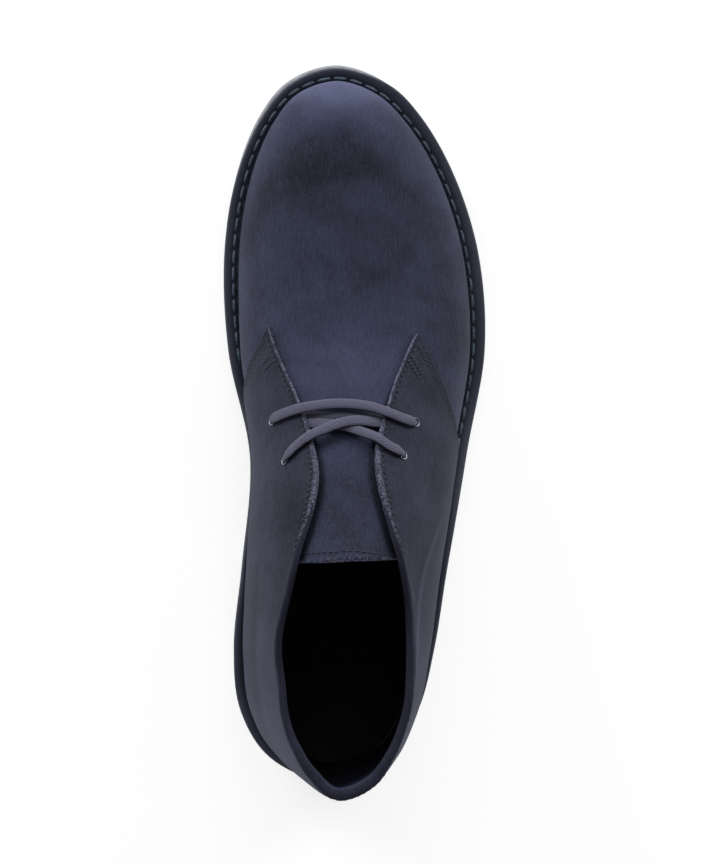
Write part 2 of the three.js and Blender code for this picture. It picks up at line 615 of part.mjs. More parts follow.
// ---- assembly ----
const pieces = [
  ['outsole', outsole, RUBBER],
  ['heel', heel, RUBBER],
  ['welt', welt, WELT_DARK],
  ['insole', insole, LINING],
  ['upper', upper, SUEDE],
  ['tongue', tongue, SUEDE_LIGHT],
  ['quarter_lateral', quarterLateral, SUEDE_LIGHT],
  ['quarter_medial', quarterMedial, SUEDE_LIGHT],
  ['lace_bar', laceRun(LACE_BAR), CORD],
  ['lace_crossing', laceCrossing, CORD],
  ...EYELETS.map((eyelet) => [eyelet.name, eyeletRing(eyelet), METAL]),
];

const boot = new THREE.Group();
for (const [name, geometry, material] of pieces) {
  const mesh = new THREE.Mesh(geometry, material);
  mesh.name = name;
  boot.add(mesh);
}

// Origin at the middle of the bounding box, on the ground.
const bounds = new THREE.Box3().setFromObject(boot);
const middle = bounds.getCenter(new THREE.Vector3());
for (const mesh of boot.children) mesh.geometry.translate(-middle.x, -middle.y, -bounds.min.z);
export default boot;
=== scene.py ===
"""Looks of a navy suede chukka boot, right foot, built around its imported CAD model.

The boot stands on its heel and tread, +Z up, +Y toward the toe, +X toward the outer side.
Every soft piece is a surface drawn over one last: a closed sole outline, and one section
per station that climbs from the feather edge over the foot to the ridge.
Shapes are worked out in millimetres and written to the meshes in metres.
"""

import logging
import math
from dataclasses import dataclass, field
from enum import Enum
from typing import Callable, ClassVar, Dict, List, Optional, Sequence, Tuple

import bmesh
import bpy
import numpy as np
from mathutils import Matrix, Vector

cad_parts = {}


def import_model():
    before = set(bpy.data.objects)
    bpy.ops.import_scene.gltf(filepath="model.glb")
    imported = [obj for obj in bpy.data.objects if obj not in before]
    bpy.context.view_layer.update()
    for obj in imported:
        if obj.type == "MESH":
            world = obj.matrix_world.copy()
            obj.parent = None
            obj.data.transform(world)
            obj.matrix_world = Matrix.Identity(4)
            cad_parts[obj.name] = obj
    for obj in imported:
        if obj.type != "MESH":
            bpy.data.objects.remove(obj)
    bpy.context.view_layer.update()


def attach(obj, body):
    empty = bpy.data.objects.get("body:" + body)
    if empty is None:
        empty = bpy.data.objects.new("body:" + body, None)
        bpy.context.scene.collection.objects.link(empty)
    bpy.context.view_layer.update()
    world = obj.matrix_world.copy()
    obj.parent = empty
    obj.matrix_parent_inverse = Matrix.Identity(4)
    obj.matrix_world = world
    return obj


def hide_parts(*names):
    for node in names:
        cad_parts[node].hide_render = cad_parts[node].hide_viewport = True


Array = np.ndarray
Colour = Tuple[float, float, float, float]
Curve = Callable[[Array], Array]
Level = Tuple[Curve, Curve]
LOG = logging.getLogger("chukka")
BODY = "root"
MM = 0.001  # a millimetre in metres
TINY = 1e-12  # keeps lengths off zero
SHORTEST_EDGE = 1e-7  # in metres
WAVES = 8  # sine waves in one noise
RIDGE_END = 0.05  # share over which a ridge fades at each end


class Side(Enum):
    """The two sides of the boot; the value is the sign of the walk around the sole."""

    LATERAL = 1
    MEDIAL = -1


class Slot(Enum):
    """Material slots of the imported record."""

    SUEDE = "suede"
    WELT = "welt_leather"
    LINING = "lining_leather"
    RUBBER = "sole_rubber"
    LACE = "lace_cotton"
    METAL = "eyelet_metal"


# --------------------------------------------------------------------------- tables


@dataclass(frozen=True)
class SectionTable:
    """Sections of the last, one entry per station from toe tip (0) to heel back (1).

    ledge is the welt outside the upper, bulge the lean of the wall over it, rise the
    height of that lean, full how far a section stays wide, drop its fall beside the
    ridge, and crown the ridge height.
    """

    at: Tuple[float, ...] = (
        0, 0.10, 0.18, 0.27, 0.35, 0.43, 0.52, 0.58, 0.64, 0.69, 0.75, 0.82, 0.91, 0.955, 1,
    )
    ledge_lateral: Tuple[float, ...] = (
        8.0, 7.6, 7.2, 7.4, 7.5, 7.2, 6.6, 6.2, 5.8, 5.4, 5.0, 4.6, 4.2, 4.1, 4.0,
    )
    ledge_medial: Tuple[float, ...] = (
        8.0, 7.2, 6.4, 6.3, 6.2, 5.4, 4.2, 3.6, 3.5, 4.0, 5.3, 6.1, 6.2, 5.6, 4.4,
    )
    bulge_lateral: Tuple[float, ...] = (
        3.0, 2.5, 2.0, 2.0, 2.0, 2.0, 2.0, 2.0, 2.0, 2.0, 2.0, 2.5, 4.0, 5.3, 6.1,
    )
    bulge_medial: Tuple[float, ...] = (
        3.0, 2.5, 2.0, 2.0, 3.0, 6.0, 9.0, 8.0, 6.0, 4.0, 3.0, 3.0, 4.0, 5.9, 6.1,
    )
    rise: Tuple[float, ...] = (
        15, 16.5, 20.5, 26, 31, 35, 39, 41, 41, 41, 41, 41, 42, 43, 44,
    )
    full_lateral: Tuple[float, ...] = (
        0.60, 0.60, 0.60, 0.60, 0.58, 0.55, 0.53, 0.53, 0.50, 0.39, 0.38, 0.46, 0.53, 0.87,
        0.99,
    )
    full_medial: Tuple[float, ...] = (
        0.60, 0.60, 0.60, 0.60, 0.60, 0.62, 0.68, 0.75, 0.75, 0.62, 0.55, 0.26, 0.39, 0.66,
        0.99,
    )
    drop: Tuple[float, ...] = (0, 0, 0, 0, 0, 0, 0, 0, 1, 6, 12, 14, 12, 10.8, 10)
    crown: Tuple[float, ...] = (
        51, 51.6, 54.4, 59.6, 66, 74.5, 90, 104, 119, 135, 156, 174, 186, 189, 190,
    )


@dataclass(frozen=True)
class EdgeTable:
    """An edge drawn on the last: height shares up the sections, one per station."""

    at: Tuple[float, ...]
    up: Tuple[float, ...]


FACING: Dict[Side, EdgeTable] = {
    Side.LATERAL: EdgeTable(
        (0.397, 0.425, 0.443, 0.461, 0.488, 0.516, 0.539, 0.563, 0.583, 0.611,
         0.636, 0.665, 0.700, 0.740, 0.780, 0.825, 0.900, 1.000),
        (0.661, 0.718, 0.747, 0.776, 0.808, 0.846, 0.868, 0.867, 0.848, 0.805,
         0.749, 0.658, 0.571, 0.523, 0.496, 0.480, 0.460, 0.453),
    ),
    Side.MEDIAL: EdgeTable(
        (0.387, 0.422, 0.443, 0.464, 0.486, 0.512, 0.535, 0.554, 0.572, 0.596,
         0.621, 0.645, 0.672, 0.700, 0.740, 0.780, 0.825, 0.900, 1.000),
        (0.537, 0.602, 0.647, 0.690, 0.730, 0.772, 0.802, 0.823, 0.824, 0.805,
         0.767, 0.714, 0.650, 0.590, 0.524, 0.482, 0.462, 0.456, 0.453),
    ),
}
WING: Dict[Side, EdgeTable] = {
    Side.LATERAL: EdgeTable(
        (0.397, 0.429, 0.448, 0.465, 0.487, 0.507, 0.530, 0.544, 0.558),
        (0.661, 0.588, 0.533, 0.476, 0.399, 0.320, 0.210, 0.120, 0.016),
    ),
    Side.MEDIAL: EdgeTable(
        (0.387, 0.413, 0.430, 0.447, 0.466, 0.486, 0.508),
        (0.537, 0.454, 0.371, 0.296, 0.205, 0.110, 0.016),
    ),
}


@dataclass(frozen=True)
class Ridge:
    """A soft ridge along a quarter, in shares; a negative height makes a hollow."""

    at: Tuple[float, ...]
    up: Tuple[float, ...]
    reach: float
    height: float


RIDGES: Dict[Side, Tuple[Ridge, ...]] = {
    Side.LATERAL: (
        Ridge((0.60, 0.66, 0.71, 0.76, 0.83), (0.33, 0.46, 0.495, 0.49, 0.455), 0.022, 1.0),
    ),
    Side.MEDIAL: (
        Ridge((0.66, 0.72, 0.79, 0.86, 0.93), (0.09, 0.10, 0.10, 0.11, 0.13), 0.035, 0.75),
        Ridge((0.64, 0.70, 0.77, 0.84, 0.92), (0.40, 0.34, 0.30, 0.27, 0.25), 0.04, -0.4),
    ),
}


# --------------------------------------------------------------------------- curves


def ease(share: Array) -> Array:
    """Smooth step: 3 s squared minus 2 s cubed, of a share held between 0 and 1."""
    held = np.clip(share, 0.0, 1.0)
    return held * held * (3.0 - 2.0 * held)


def after(value: Array, start: float, reach: float) -> Array:
    """Smooth step that leaves 0 at the start and gets to 1 one reach beyond it."""
    return ease((value - start) / reach)


def before(value: Array, end: float, reach: float) -> Array:
    """Smooth step that leaves 1 one reach short of the end and gets to 0 at it."""
    return ease((end - value) / reach)


def bell(offset: Array, reach: float) -> Array:
    """Bell curve: e to the power of minus the square of offset over reach."""
    return np.exp(-((offset / reach) ** 2))


def turns(count: int) -> Array:
    """Even angles round a full circle."""
    return np.arange(count) * (2 * math.pi / count)


def crowded(count: int) -> Array:
    """Shares from 0 to 1 that crowd toward both ends: half of one minus a cosine."""
    return 0.5 - 0.5 * np.cos(np.linspace(0.0, math.pi, count))


def held(value: float) -> Curve:
    """A curve that has the same value everywhere."""
    return lambda place: np.full_like(place, value)


def mix(low: Array, high: Array, share: Array) -> Array:
    """Straight blend from low to high."""
    return low + (high - low) * share


def follow(at: Sequence[float], values: Sequence[float], where: Array, free: bool = False) -> Array:
    """Cubic curve through a table, with each inner slope the chord of its neighbours.

    Args:
        at: Stations of the table, rising.
        values: Value at each station.
        where: Stations to read.
        free: Whether the end slopes follow the end chords instead of lying level.

    Returns:
        The value at each wanted station.
    """
    knots, heights = np.asarray(at, float), np.asarray(values, float)
    slopes = np.zeros_like(heights)
    slopes[1:-1] = (heights[2:] - heights[:-2]) / (knots[2:] - knots[:-2])
    if free:
        slopes[0] = (heights[1] - heights[0]) / (knots[1] - knots[0])
        slopes[-1] = (heights[-1] - heights[-2]) / (knots[-1] - knots[-2])
    place = np.clip(where, knots[0], knots[-1])
    i = np.clip(np.searchsorted(knots, place, side="right") - 1, 0, len(knots) - 2)
    span = knots[i + 1] - knots[i]
    s = (place - knots[i]) / span
    start = heights[i] * (2 * s**3 - 3 * s**2 + 1) + slopes[i] * span * (s**3 - 2 * s**2 + s)
    end = heights[i + 1] * (3 * s**2 - 2 * s**3) + slopes[i + 1] * span * (s**3 - s**2)
    return start + end


def unit(vectors: Array) -> Array:
    """Vectors of length one, along the last axis."""
    return vectors / np.maximum(np.linalg.norm(vectors, axis=-1, keepdims=True), TINY)


def wave_noise(x: Array, y: Array, z: Array, scale: float, seed: int) -> Array:
    """Gentle unevenness: twice the mean of sine waves in seeded directions, about -1 to 1.

    Args:
        x: First coordinate.
        y: Second coordinate.
        z: Third coordinate.
        scale: Length of the waves.
        seed: Choice of directions and phases.

    Returns:
        The unevenness at each point.
    """
    rng = np.random.default_rng(seed)
    directions = unit(rng.normal(size=(WAVES, 3))) * rng.uniform(0.7, 1.5, size=(WAVES, 1))
    phases = rng.uniform(0, 2 * math.pi, size=WAVES)
    points = np.stack([x, y, z], axis=-1) @ directions.T
    return np.sin(points * (2 * math.pi / scale) + phases).mean(axis=-1) * 2.0


# --------------------------------------------------------------------------- sole and last


@dataclass
class Sole:
    """The sole's closed outline and its levels, in millimetres."""

    length: float = 300.0
    width: float = 111.5
    toe_tip_x: float = -8.5
    heel_back_x: float = -13.0
    heel_height: float = 17.0
    outsole: float = 8.0
    welt: float = 3.5
    gap: float = 0.3
    toe_spring: float = 12.0
    spring_start: float = 78.0
    spring_power: float = 2.2
    arch_front: float = 15.0
    arch_length: float = 75.0
    welt_setback: float = 1.7
    setback_lateral: float = 0.10
    setback_medial: float = 0.24
    fade_lateral: float = 0.9
    fade_medial: float = 0.75
    along: Tuple[float, ...] = (
        0.033, 0.100, 0.183, 0.300, 0.450, 0.600, 0.740, 0.850, 0.930, 0.978,
    )
    medial: Tuple[float, ...] = (
        0.330, 0.440, 0.463, 0.432, 0.399, 0.480, 0.495, 0.448, 0.364, 0.256,
    )
    lateral: Tuple[float, ...] = (
        0.122, 0.232, 0.290, 0.341, 0.420, 0.496, 0.471, 0.376, 0.247, 0.110,
    )
    samples: int = 2001
    _knots: Array = field(init=False, repr=False)
    _walks: Dict[Side, Tuple[Array, Array]] = field(init=False, repr=False)

    def __post_init__(self) -> None:
        """Lays out the outline's knots, and the distance walked along each side."""
        y = (np.array(self.along) - 0.5) * self.length
        outer = np.stack([np.array(self.lateral) * self.width, y], axis=1)[::-1]
        inner = np.stack([-np.array(self.medial) * self.width, y], axis=1)
        toe = [[self.toe_tip_x, self.length / 2]]
        heel = [[self.heel_back_x, -self.length / 2]]
        self._knots = np.vstack([toe, outer, heel, inner])
        half = np.linspace(0.0, 0.5, self.samples)
        self._walks = {}
        for side in Side:
            points = self._curve(half if side is Side.LATERAL else (1.0 - half) % 1.0)
            steps = np.linalg.norm(np.diff(points, axis=0), axis=1)
            walked = np.concatenate([[0.0], np.cumsum(steps)])
            self._walks[side] = (walked / walked[-1], half)

    def _curve(self, t: Array) -> Array:
        """Centripetal Catmull-Rom curve through the knots, closed on itself.

        Args:
            t: Shares of the whole outline.

        Returns:
            Points in plan.
        """
        count = len(self._knots)
        place = t * count
        i = np.floor(place).astype(int) % count
        w = (place - np.floor(place))[:, None]
        p0, p1, p2, p3 = (self._knots[(i + k) % count] for k in (-1, 0, 1, 2))

        def root(a: Array, b: Array) -> Array:
            """Square root of the distance between two knots."""
            return np.maximum(((a - b) ** 2).sum(axis=1), TINY)[:, None] ** 0.25

        d0, d1, d2 = root(p0, p1), root(p1, p2), root(p2, p3)
        start = ((p1 - p0) / d0 - (p2 - p0) / (d0 + d1) + (p2 - p1) / d1) * d1
        end = ((p2 - p1) / d1 - (p3 - p1) / (d1 + d2) + (p3 - p2) / d2) * d1
        near = p1 * (2 * w**3 - 3 * w**2 + 1) + start * (w**3 - 2 * w**2 + w)
        return near + p2 * (3 * w**2 - 2 * w**3) + end * (w**3 - w**2)

    @staticmethod
    def wrap(u: Array) -> Array:
        """The walk around the sole brought to -1..1: 0 at the toe, 1 and -1 at the heel."""
        return (np.asarray(u, float) + 1.0) % 2.0 - 1.0

    def outline(self, u: Array) -> Array:
        """Point of the outline: outer side for u from 0 to 1, inner for 0 to -1.

        Args:
            u: Walk around the boot.

        Returns:
            Points in plan.
        """
        wrapped = self.wrap(u)
        share = np.abs(wrapped)
        lateral_walk, half = self._walks[Side.LATERAL]
        medial_walk, _ = self._walks[Side.MEDIAL]
        outer = np.interp(share, lateral_walk, half)
        inner = (1.0 - np.interp(share, medial_walk, half)) % 1.0
        return self._curve(np.where(wrapped >= 0, outer, inner))

    def rim(self, u: Array, inset: Array) -> Array:
        """Outline drawn inward by a distance, square to itself.

        Args:
            u: Walk around the sole.
            inset: Distance inward; negative goes outward.

        Returns:
            Points in plan.
        """
        step = 1e-3
        along = unit(self.outline(u + step) - self.outline(u - step))
        inward = np.stack([along[:, 1], -along[:, 0]], axis=1)
        return self.outline(u) + inward * np.broadcast_to(inset, np.shape(u))[:, None]

    def underside(self, y: Array) -> Array:
        """Height of the outsole's bottom: toe spring, flat tread, arch and heel seat."""
        lift = np.clip((y - self.spring_start) / (self.length / 2 - self.spring_start), 0, None)
        arch = ease((self.arch_front - y) / self.arch_length)
        return self.toe_spring * lift**self.spring_power + self.heel_height * arch

    def setback(self, u: Array) -> Array:
        """Distance the welt is drawn in behind the outsole's edge, round the toe.

        It is full at the toe tip. It has faded out a tenth of the way along the outer side
        and about a quarter of the way along the inner side.

        Args:
            u: Walk around the boot.

        Returns:
            The distance at each place.
        """
        wrapped = self.wrap(u)
        outer = before(wrapped, self.setback_lateral, self.fade_lateral * self.setback_lateral)
        inner = after(wrapped, -self.setback_medial, self.fade_medial * self.setback_medial)
        return self.welt_setback * np.where(wrapped >= 0, outer, inner)

    @property
    def welt_top(self) -> float:
        """Height of the welt's top above the outsole's bottom."""
        return self.outsole + self.gap + self.welt


@dataclass
class Last:
    """The surface of the foot form: u around the boot, v from feather edge to ridge."""

    sole: Sole
    table: SectionTable = field(default_factory=SectionTable)
    toe_ridge: float = 119.0
    heel_ridge: float = -108.0
    ridge_blend: float = 9.0
    axis_y: Tuple[float, ...] = (-150.0, -60.0, 60.0, 150.0)
    axis_x: Tuple[float, ...] = (-12.5, -7.7, -7.7, -8.5)

    def column(self, name: str, u: Array) -> Array:
        """One column of the table, read at each station."""
        return follow(self.table.at, getattr(self.table, name), np.abs(Sole.wrap(u)))

    def sided(self, name: str, u: Array) -> Array:
        """A column that has a value for each side."""
        outer = self.column(f"{name}_lateral", u)
        inner = self.column(f"{name}_medial", u)
        return np.where(Sole.wrap(u) >= 0, outer, inner)

    def feather(self, u: Array) -> Array:
        """Where the upper meets the welt, in plan."""
        return self.sole.rim(u, self.sided("ledge", u))

    def _soft_min(self, a: Array, b: float) -> Array:
        """Smaller of two values, with a rounded change-over."""
        return -self.ridge_blend * np.logaddexp(-a / self.ridge_blend, -b / self.ridge_blend)

    def point(self, u: Array, v: Array) -> Array:
        """Point of the last: a cubic Bezier section from the feather edge to the ridge.

        The section starts upright with a lean outward, and ends level across the ridge.

        Args:
            u: Walk around the boot.
            v: Share of the section, 0 at the feather edge and 1 at the ridge.

        Returns:
            Points, one row each.
        """
        u, v = np.broadcast_arrays(np.asarray(u, float), np.asarray(v, float))
        shape = u.shape
        u, v = u.ravel(), v.ravel()[:, None]
        foot, across = self.feather(u), self.feather(-u)
        middle = self._soft_min((foot[:, 1] + across[:, 1]) / 2, self.toe_ridge)
        ridge_y = -self._soft_min(-middle, -self.heel_ridge)
        crown = self.column("crown", u)
        base = self.sole.underside(foot[:, 1]) + self.sole.welt_top + self.sole.gap
        ridge = np.stack([follow(self.axis_y, self.axis_x, ridge_y), ridge_y], axis=1)
        reach = foot - ridge
        lean = unit(reach) * self.sided("bulge", u)[:, None]
        p0 = np.column_stack([foot, base])
        p1 = np.column_stack([foot + lean, base + self.column("rise", u)])
        wide = ridge + reach * self.sided("full", u)[:, None]
        p2 = np.column_stack([wide, crown - self.column("drop", u)])
        p3 = np.column_stack([ridge, crown])
        w = 1.0 - v
        points = p0 * w**3 + p1 * (3 * w * w * v) + p2 * (3 * w * v * v) + p3 * v**3
        return points.reshape(shape + (3,))

    def frame(self, u: Array, v: Array) -> Tuple[Array, Array]:
        """Upward direction along the section and outward normal, both of length one.

        Args:
            u: Walk around the boot.
            v: Height share.

        Returns:
            Both directions at each place.
        """
        u, v = np.broadcast_arrays(np.asarray(u, float), np.asarray(v, float))
        step = 2e-3
        low, high = np.maximum(v - step, 0.0), np.minimum(v + step, 1.0)
        up = unit(self.point(u, high) - self.point(u, low))
        around = unit(self.point(u + step, v) - self.point(u - step, v))
        return up, unit(np.cross(up, around))

    def off(self, u: Array, v: Array, distance: Array) -> Array:
        """Point standing off the last by a distance along its normal."""
        _, normal = self.frame(u, v)
        return self.point(u, v) + normal * np.broadcast_to(distance, normal.shape[:-1])[..., None]

    @staticmethod
    def edge(tables: Dict[Side, EdgeTable], u: Array) -> Array:
        """Height share of an edge at each place around the boot.

        Args:
            tables: The edge's tables.
            u: Walk around the boot.

        Returns:
            The height shares.
        """
        wrapped = Sole.wrap(u)
        outer, inner = tables[Side.LATERAL], tables[Side.MEDIAL]
        high = follow(outer.at, outer.up, np.abs(wrapped), free=True)
        low = follow(inner.at, inner.up, np.abs(wrapped), free=True)
        return np.where(wrapped >= 0, high, low)


# --------------------------------------------------------------------------- mesh helpers


@dataclass
class Patch:
    """Vertices in millimetres, quads, and named per-vertex values, kept as arrays."""

    points: Array
    quads: Array
    values: Dict[str, Array] = field(default_factory=dict)

    @staticmethod
    def grid(points: Array, wrap_columns: bool = False, wrap_rows: bool = False,
             flip: bool = False, **values: Array) -> "Patch":
        """Quads over a grid of points, optionally closed on itself either way.

        Args:
            points: Columns by rows by three.
            wrap_columns: Whether the last column joins the first.
            wrap_rows: Whether the last row joins the first.
            flip: Whether the faces are turned over.
            **values: Per-vertex values, columns by rows.

        Returns:
            The patch.
        """
        columns, rows = points.shape[:2]
        i = np.arange(columns if wrap_columns else columns - 1)
        j = np.arange(rows if wrap_rows else rows - 1)
        i, j = (part.ravel() for part in np.meshgrid(i, j, indexing="ij"))
        i2, j2 = (i + 1) % columns, (j + 1) % rows
        quads = np.stack([i * rows + j, i2 * rows + j, i2 * rows + j2, i * rows + j2], axis=1)
        if flip:
            quads = quads[:, ::-1]
        flat = {name: np.asarray(array, float).ravel() for name, array in values.items()}
        return Patch(points.reshape(-1, 3), quads, flat)

    def joined(self, *others: "Patch") -> "Patch":
        """This patch and others as one, with missing values filled with zero.

        Returns:
            The joint patch.
        """
        parts = [self, *others]
        names = sorted({name for part in parts for name in part.values})
        starts = np.cumsum([0] + [len(part.points) for part in parts[:-1]])
        quads = np.vstack([part.quads + start for part, start in zip(parts, starts)])
        values = {
            name: np.concatenate(
                [part.values.get(name, np.zeros(len(part.points))) for part in parts]
            )
            for name in names
        }
        return Patch(np.vstack([part.points for part in parts]), quads, values)


def repeat_patch(template: Patch, origins: Array, axes: Array) -> Patch:
    """Copies of a small patch, each turned and placed by its own frame.

    Args:
        template: The small patch, in its own axes.
        origins: Place of each copy, copies by three.
        axes: Directions of the template's X, Y and Z for each copy, copies by three by three.

    Returns:
        All copies as one patch.
    """
    count, size = len(origins), len(template.points)
    points = origins[:, None, :] + np.einsum("pk,ckx->cpx", template.points, axes)
    shifts = np.arange(count)[:, None, None] * size
    quads = (template.quads[None] + shifts).reshape(-1, 4)
    values = {name: np.tile(array, count) for name, array in template.values.items()}
    return Patch(points.reshape(-1, 3), quads, values)


def build_object(name: str, patch: Patch, material: bpy.types.Material,
                 replaces: Sequence[str] = (), merge: float = 0.0,
                 recalculate: bool = True) -> None:
    """Writes a patch to a mesh object, dresses it and lets it ride with the boot.

    Args:
        name: Name of the piece.
        patch: Its surface, in millimetres.
        material: Its finish.
        replaces: CAD nodes that the piece stands for.
        merge: Distance in millimetres under which vertices are welded.
        recalculate: Whether faces are turned outward afterwards.
    """
    mesh = bpy.data.meshes.new(name)
    mesh.vertices.add(len(patch.points))
    mesh.vertices.foreach_set("co", (patch.points * MM).astype(np.float32).ravel())
    mesh.loops.add(len(patch.quads) * 4)
    mesh.loops.foreach_set("vertex_index", patch.quads.astype(np.int32).ravel())
    mesh.polygons.add(len(patch.quads))
    mesh.polygons.foreach_set("loop_start", (np.arange(len(patch.quads)) * 4).astype(np.int32))
    mesh.update(calc_edges=True)
    for key, array in patch.values.items():
        layer = mesh.attributes.new(key, "FLOAT", "POINT")
        layer.data.foreach_set("value", array.astype(np.float32))
    mesh.validate(clean_customdata=False)
    if merge > 0 or recalculate:
        tidy = bmesh.new()
        tidy.from_mesh(mesh)
        if merge > 0:
            bmesh.ops.remove_doubles(tidy, verts=tidy.verts, dist=merge * MM)
            bmesh.ops.dissolve_degenerate(tidy, edges=tidy.edges, dist=SHORTEST_EDGE)
        if recalculate:
            bmesh.ops.recalc_face_normals(tidy, faces=tidy.faces)
        tidy.to_mesh(mesh)
        tidy.free()
    mesh.polygons.foreach_set("use_smooth", np.full(len(mesh.polygons), True))
    mesh.materials.append(material)
    piece = bpy.data.objects.new(name, mesh)
    bpy.context.scene.collection.objects.link(piece)
    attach(piece, BODY)
    if replaces:
        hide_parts(*replaces)
    LOG.info("%s: %d faces", name, len(mesh.polygons))


def tube(rings: Array, **values: Array) -> Patch:
    """Skin over a row of closed rings, with each end drawn to its middle.

    Args:
        rings: Rings by points by three.
        **values: Per-vertex values, rings by points.

    Returns:
        The closed patch.
    """
    around = rings.shape[1]
    first = np.repeat(rings[:1].mean(axis=1, keepdims=True), around, axis=1)
    final = np.repeat(rings[-1:].mean(axis=1, keepdims=True), around, axis=1)
    ends = {key: np.concatenate([array[:1], array, array[-1:]]) for key, array in values.items()}
    return Patch.grid(np.concatenate([first, rings, final]), wrap_rows=True, **ends)


def slab(outer: Array, inner: Array, **values: Array) -> Patch:
    """Closed body between two grids of the same size.

    Args:
        outer: Outer face, columns by rows by three.
        inner: Inner face, the same.
        **values: Values of the outer face, which the inner face shares.

    Returns:
        The patch, with its doubles left to merge.
    """
    both = {key: np.concatenate([array, array[:, ::-1]], axis=1) for key, array in values.items()}
    band = Patch.grid(np.concatenate([outer, inner[:, ::-1]], axis=1), wrap_rows=True, **both)
    lids = [Patch.grid(np.stack([outer[k], inner[k]], axis=0)) for k in (0, -1)]
    return band.joined(*lids)


def sweep(path: Array, normals: Array, profile: Array, **values: Array) -> Patch:
    """A profile carried along an open path, square to it and level with given normals.

    Args:
        path: Points of the path.
        normals: Direction of the profile's second axis at each point.
        profile: Closed sections, path by points by two; across, then along the normal.
        **values: Per-vertex values, path by points.

    Returns:
        The swept patch, closed at both ends.
    """
    ahead = np.vstack([path[1:], 2 * path[-1] - path[-2]])
    behind = np.vstack([2 * path[0] - path[1], path[:-1]])
    along = unit(ahead - behind)
    across = unit(np.cross(along, normals))
    above = unit(np.cross(across, along))
    side, rise = across[:, None] * profile[..., :1], above[:, None] * profile[..., 1:]
    return tube(path[:, None] + side + rise, **values)


def oval(width: float, thickness: float, sides: int, power: float) -> Array:
    """Superellipse section: cosine and sine, each raised to two over the power.

    Args:
        width: Full width.
        thickness: Full thickness.
        sides: Number of points.
        power: 2 for an ellipse; larger is squarer.

    Returns:
        Points by two.
    """
    turn = turns(sides)
    c, s = np.cos(turn), np.sin(turn)
    x = np.sign(c) * np.abs(c) ** (2 / power) * width / 2
    y = np.sign(s) * np.abs(s) ** (2 / power) * thickness / 2
    return np.stack([x, y], axis=1)


# --------------------------------------------------------------------------- shader helpers


class Nodes:
    """Small builder for a material's or a group's node tree."""

    def __init__(self, tree: bpy.types.NodeTree) -> None:
        """Keeps the tree that nodes are added to."""
        self.tree = tree

    def add(self, kind: str, **settings: object) -> bpy.types.Node:
        """A node of a kind, with its plain properties set.

        Args:
            kind: Kind of node.
            **settings: Its plain properties.

        Returns:
            The node.
        """
        node = self.tree.nodes.new(kind)
        for key, value in settings.items():
            setattr(node, key, value)
        return node

    def link(self, source: bpy.types.NodeSocket, target: bpy.types.NodeSocket) -> None:
        """Joins two sockets."""
        self.tree.links.new(source, target)

    def feed(self, target: bpy.types.NodeSocket, value: object) -> None:
        """Links a socket or sets a plain value, whichever is given.

        Args:
            target: Socket to fill.
            value: Socket or plain value.
        """
        if isinstance(value, bpy.types.NodeSocket):
            self.link(value, target)
        else:
            target.default_value = value

    def fill(self, node: bpy.types.Node, values: Dict[str, object]) -> None:
        """Links or sets several inputs of a node, by name."""
        for name, value in values.items():
            self.feed(node.inputs[name], value)

    def math(self, operation: str, first: object, second: object = 0.0,
             clamp: bool = False) -> bpy.types.NodeSocket:
        """A math node's result.

        Args:
            operation: Name of the operation.
            first: First input.
            second: Second input.
            clamp: Whether the result is held between 0 and 1.

        Returns:
            The result.
        """
        node = self.add("ShaderNodeMath", operation=operation, use_clamp=clamp)
        self.feed(node.inputs[0], first)
        self.feed(node.inputs[1], second)
        return node.outputs[0]

    def span(self, value: object, low: float, high: float, out_low: float = 0.0,
             out_high: float = 1.0) -> bpy.types.NodeSocket:
        """A value carried smoothly from one range to another, held at both ends.

        Args:
            value: Socket or plain value.
            low: Start of the range read.
            high: End of the range read.
            out_low: Value at the start.
            out_high: Value at the end.

        Returns:
            The result.
        """
        node = self.add("ShaderNodeMapRange", interpolation_type="SMOOTHSTEP")
        self.fill(node, {"Value": value, "From Min": low, "From Max": high,
                         "To Min": out_low, "To Max": out_high})
        return node.outputs["Result"]

    def blend(self, share: object, first: object, second: object) -> bpy.types.NodeSocket:
        """A colour mix.

        Args:
            share: How much of the second shows.
            first: First input.
            second: Second input.

        Returns:
            The colour.
        """
        node = self.add("ShaderNodeMix", data_type="RGBA")
        self.feed(node.inputs[0], share)
        self.feed(node.inputs[6], first)
        self.feed(node.inputs[7], second)
        return node.outputs[2]

    def noise(self, vector: bpy.types.NodeSocket, scale: object, detail: float,
              roughness: float, distortion: float = 0.0) -> bpy.types.NodeSocket:
        """Noise value around one half.

        Args:
            vector: Coordinates.
            scale: Repeats per metre.
            detail: Number of finer layers.
            roughness: Strength of the finer layers.
            distortion: How far the pattern is bent.

        Returns:
            The value.
        """
        node = self.add("ShaderNodeTexNoise")
        self.fill(node, {"Vector": vector, "Scale": scale, "Detail": detail,
                         "Roughness": roughness, "Distortion": distortion})
        return node.outputs["Fac"]

    def object_coordinates(self) -> bpy.types.NodeSocket:
        """Object coordinates, in metres."""
        return self.add("ShaderNodeTexCoord").outputs["Object"]

    def stretched(self, vector: bpy.types.NodeSocket, scale: Tuple[float, float, float],
                  turn: Tuple[float, float, float] = (0, 0, 0)) -> bpy.types.NodeSocket:
        """Coordinates stretched and turned by a Mapping node."""
        node = self.add("ShaderNodeMapping")
        self.fill(node, {"Vector": vector, "Scale": scale, "Rotation": turn})
        return node.outputs["Vector"]

    def attribute(self, name: str) -> bpy.types.NodeSocket:
        """A per-vertex value of the piece."""
        return self.add("ShaderNodeAttribute", attribute_name=name).outputs["Fac"]

    def relief(self, shader: bpy.types.Node, height: bpy.types.NodeSocket, strength: float,
               distance: float) -> None:
        """Bumps a shader's surface by a height; the distance is in metres."""
        node = self.add("ShaderNodeBump")
        self.fill(node, {"Height": height, "Strength": strength, "Distance": distance})
        self.link(node.outputs["Normal"], shader.inputs["Normal"])


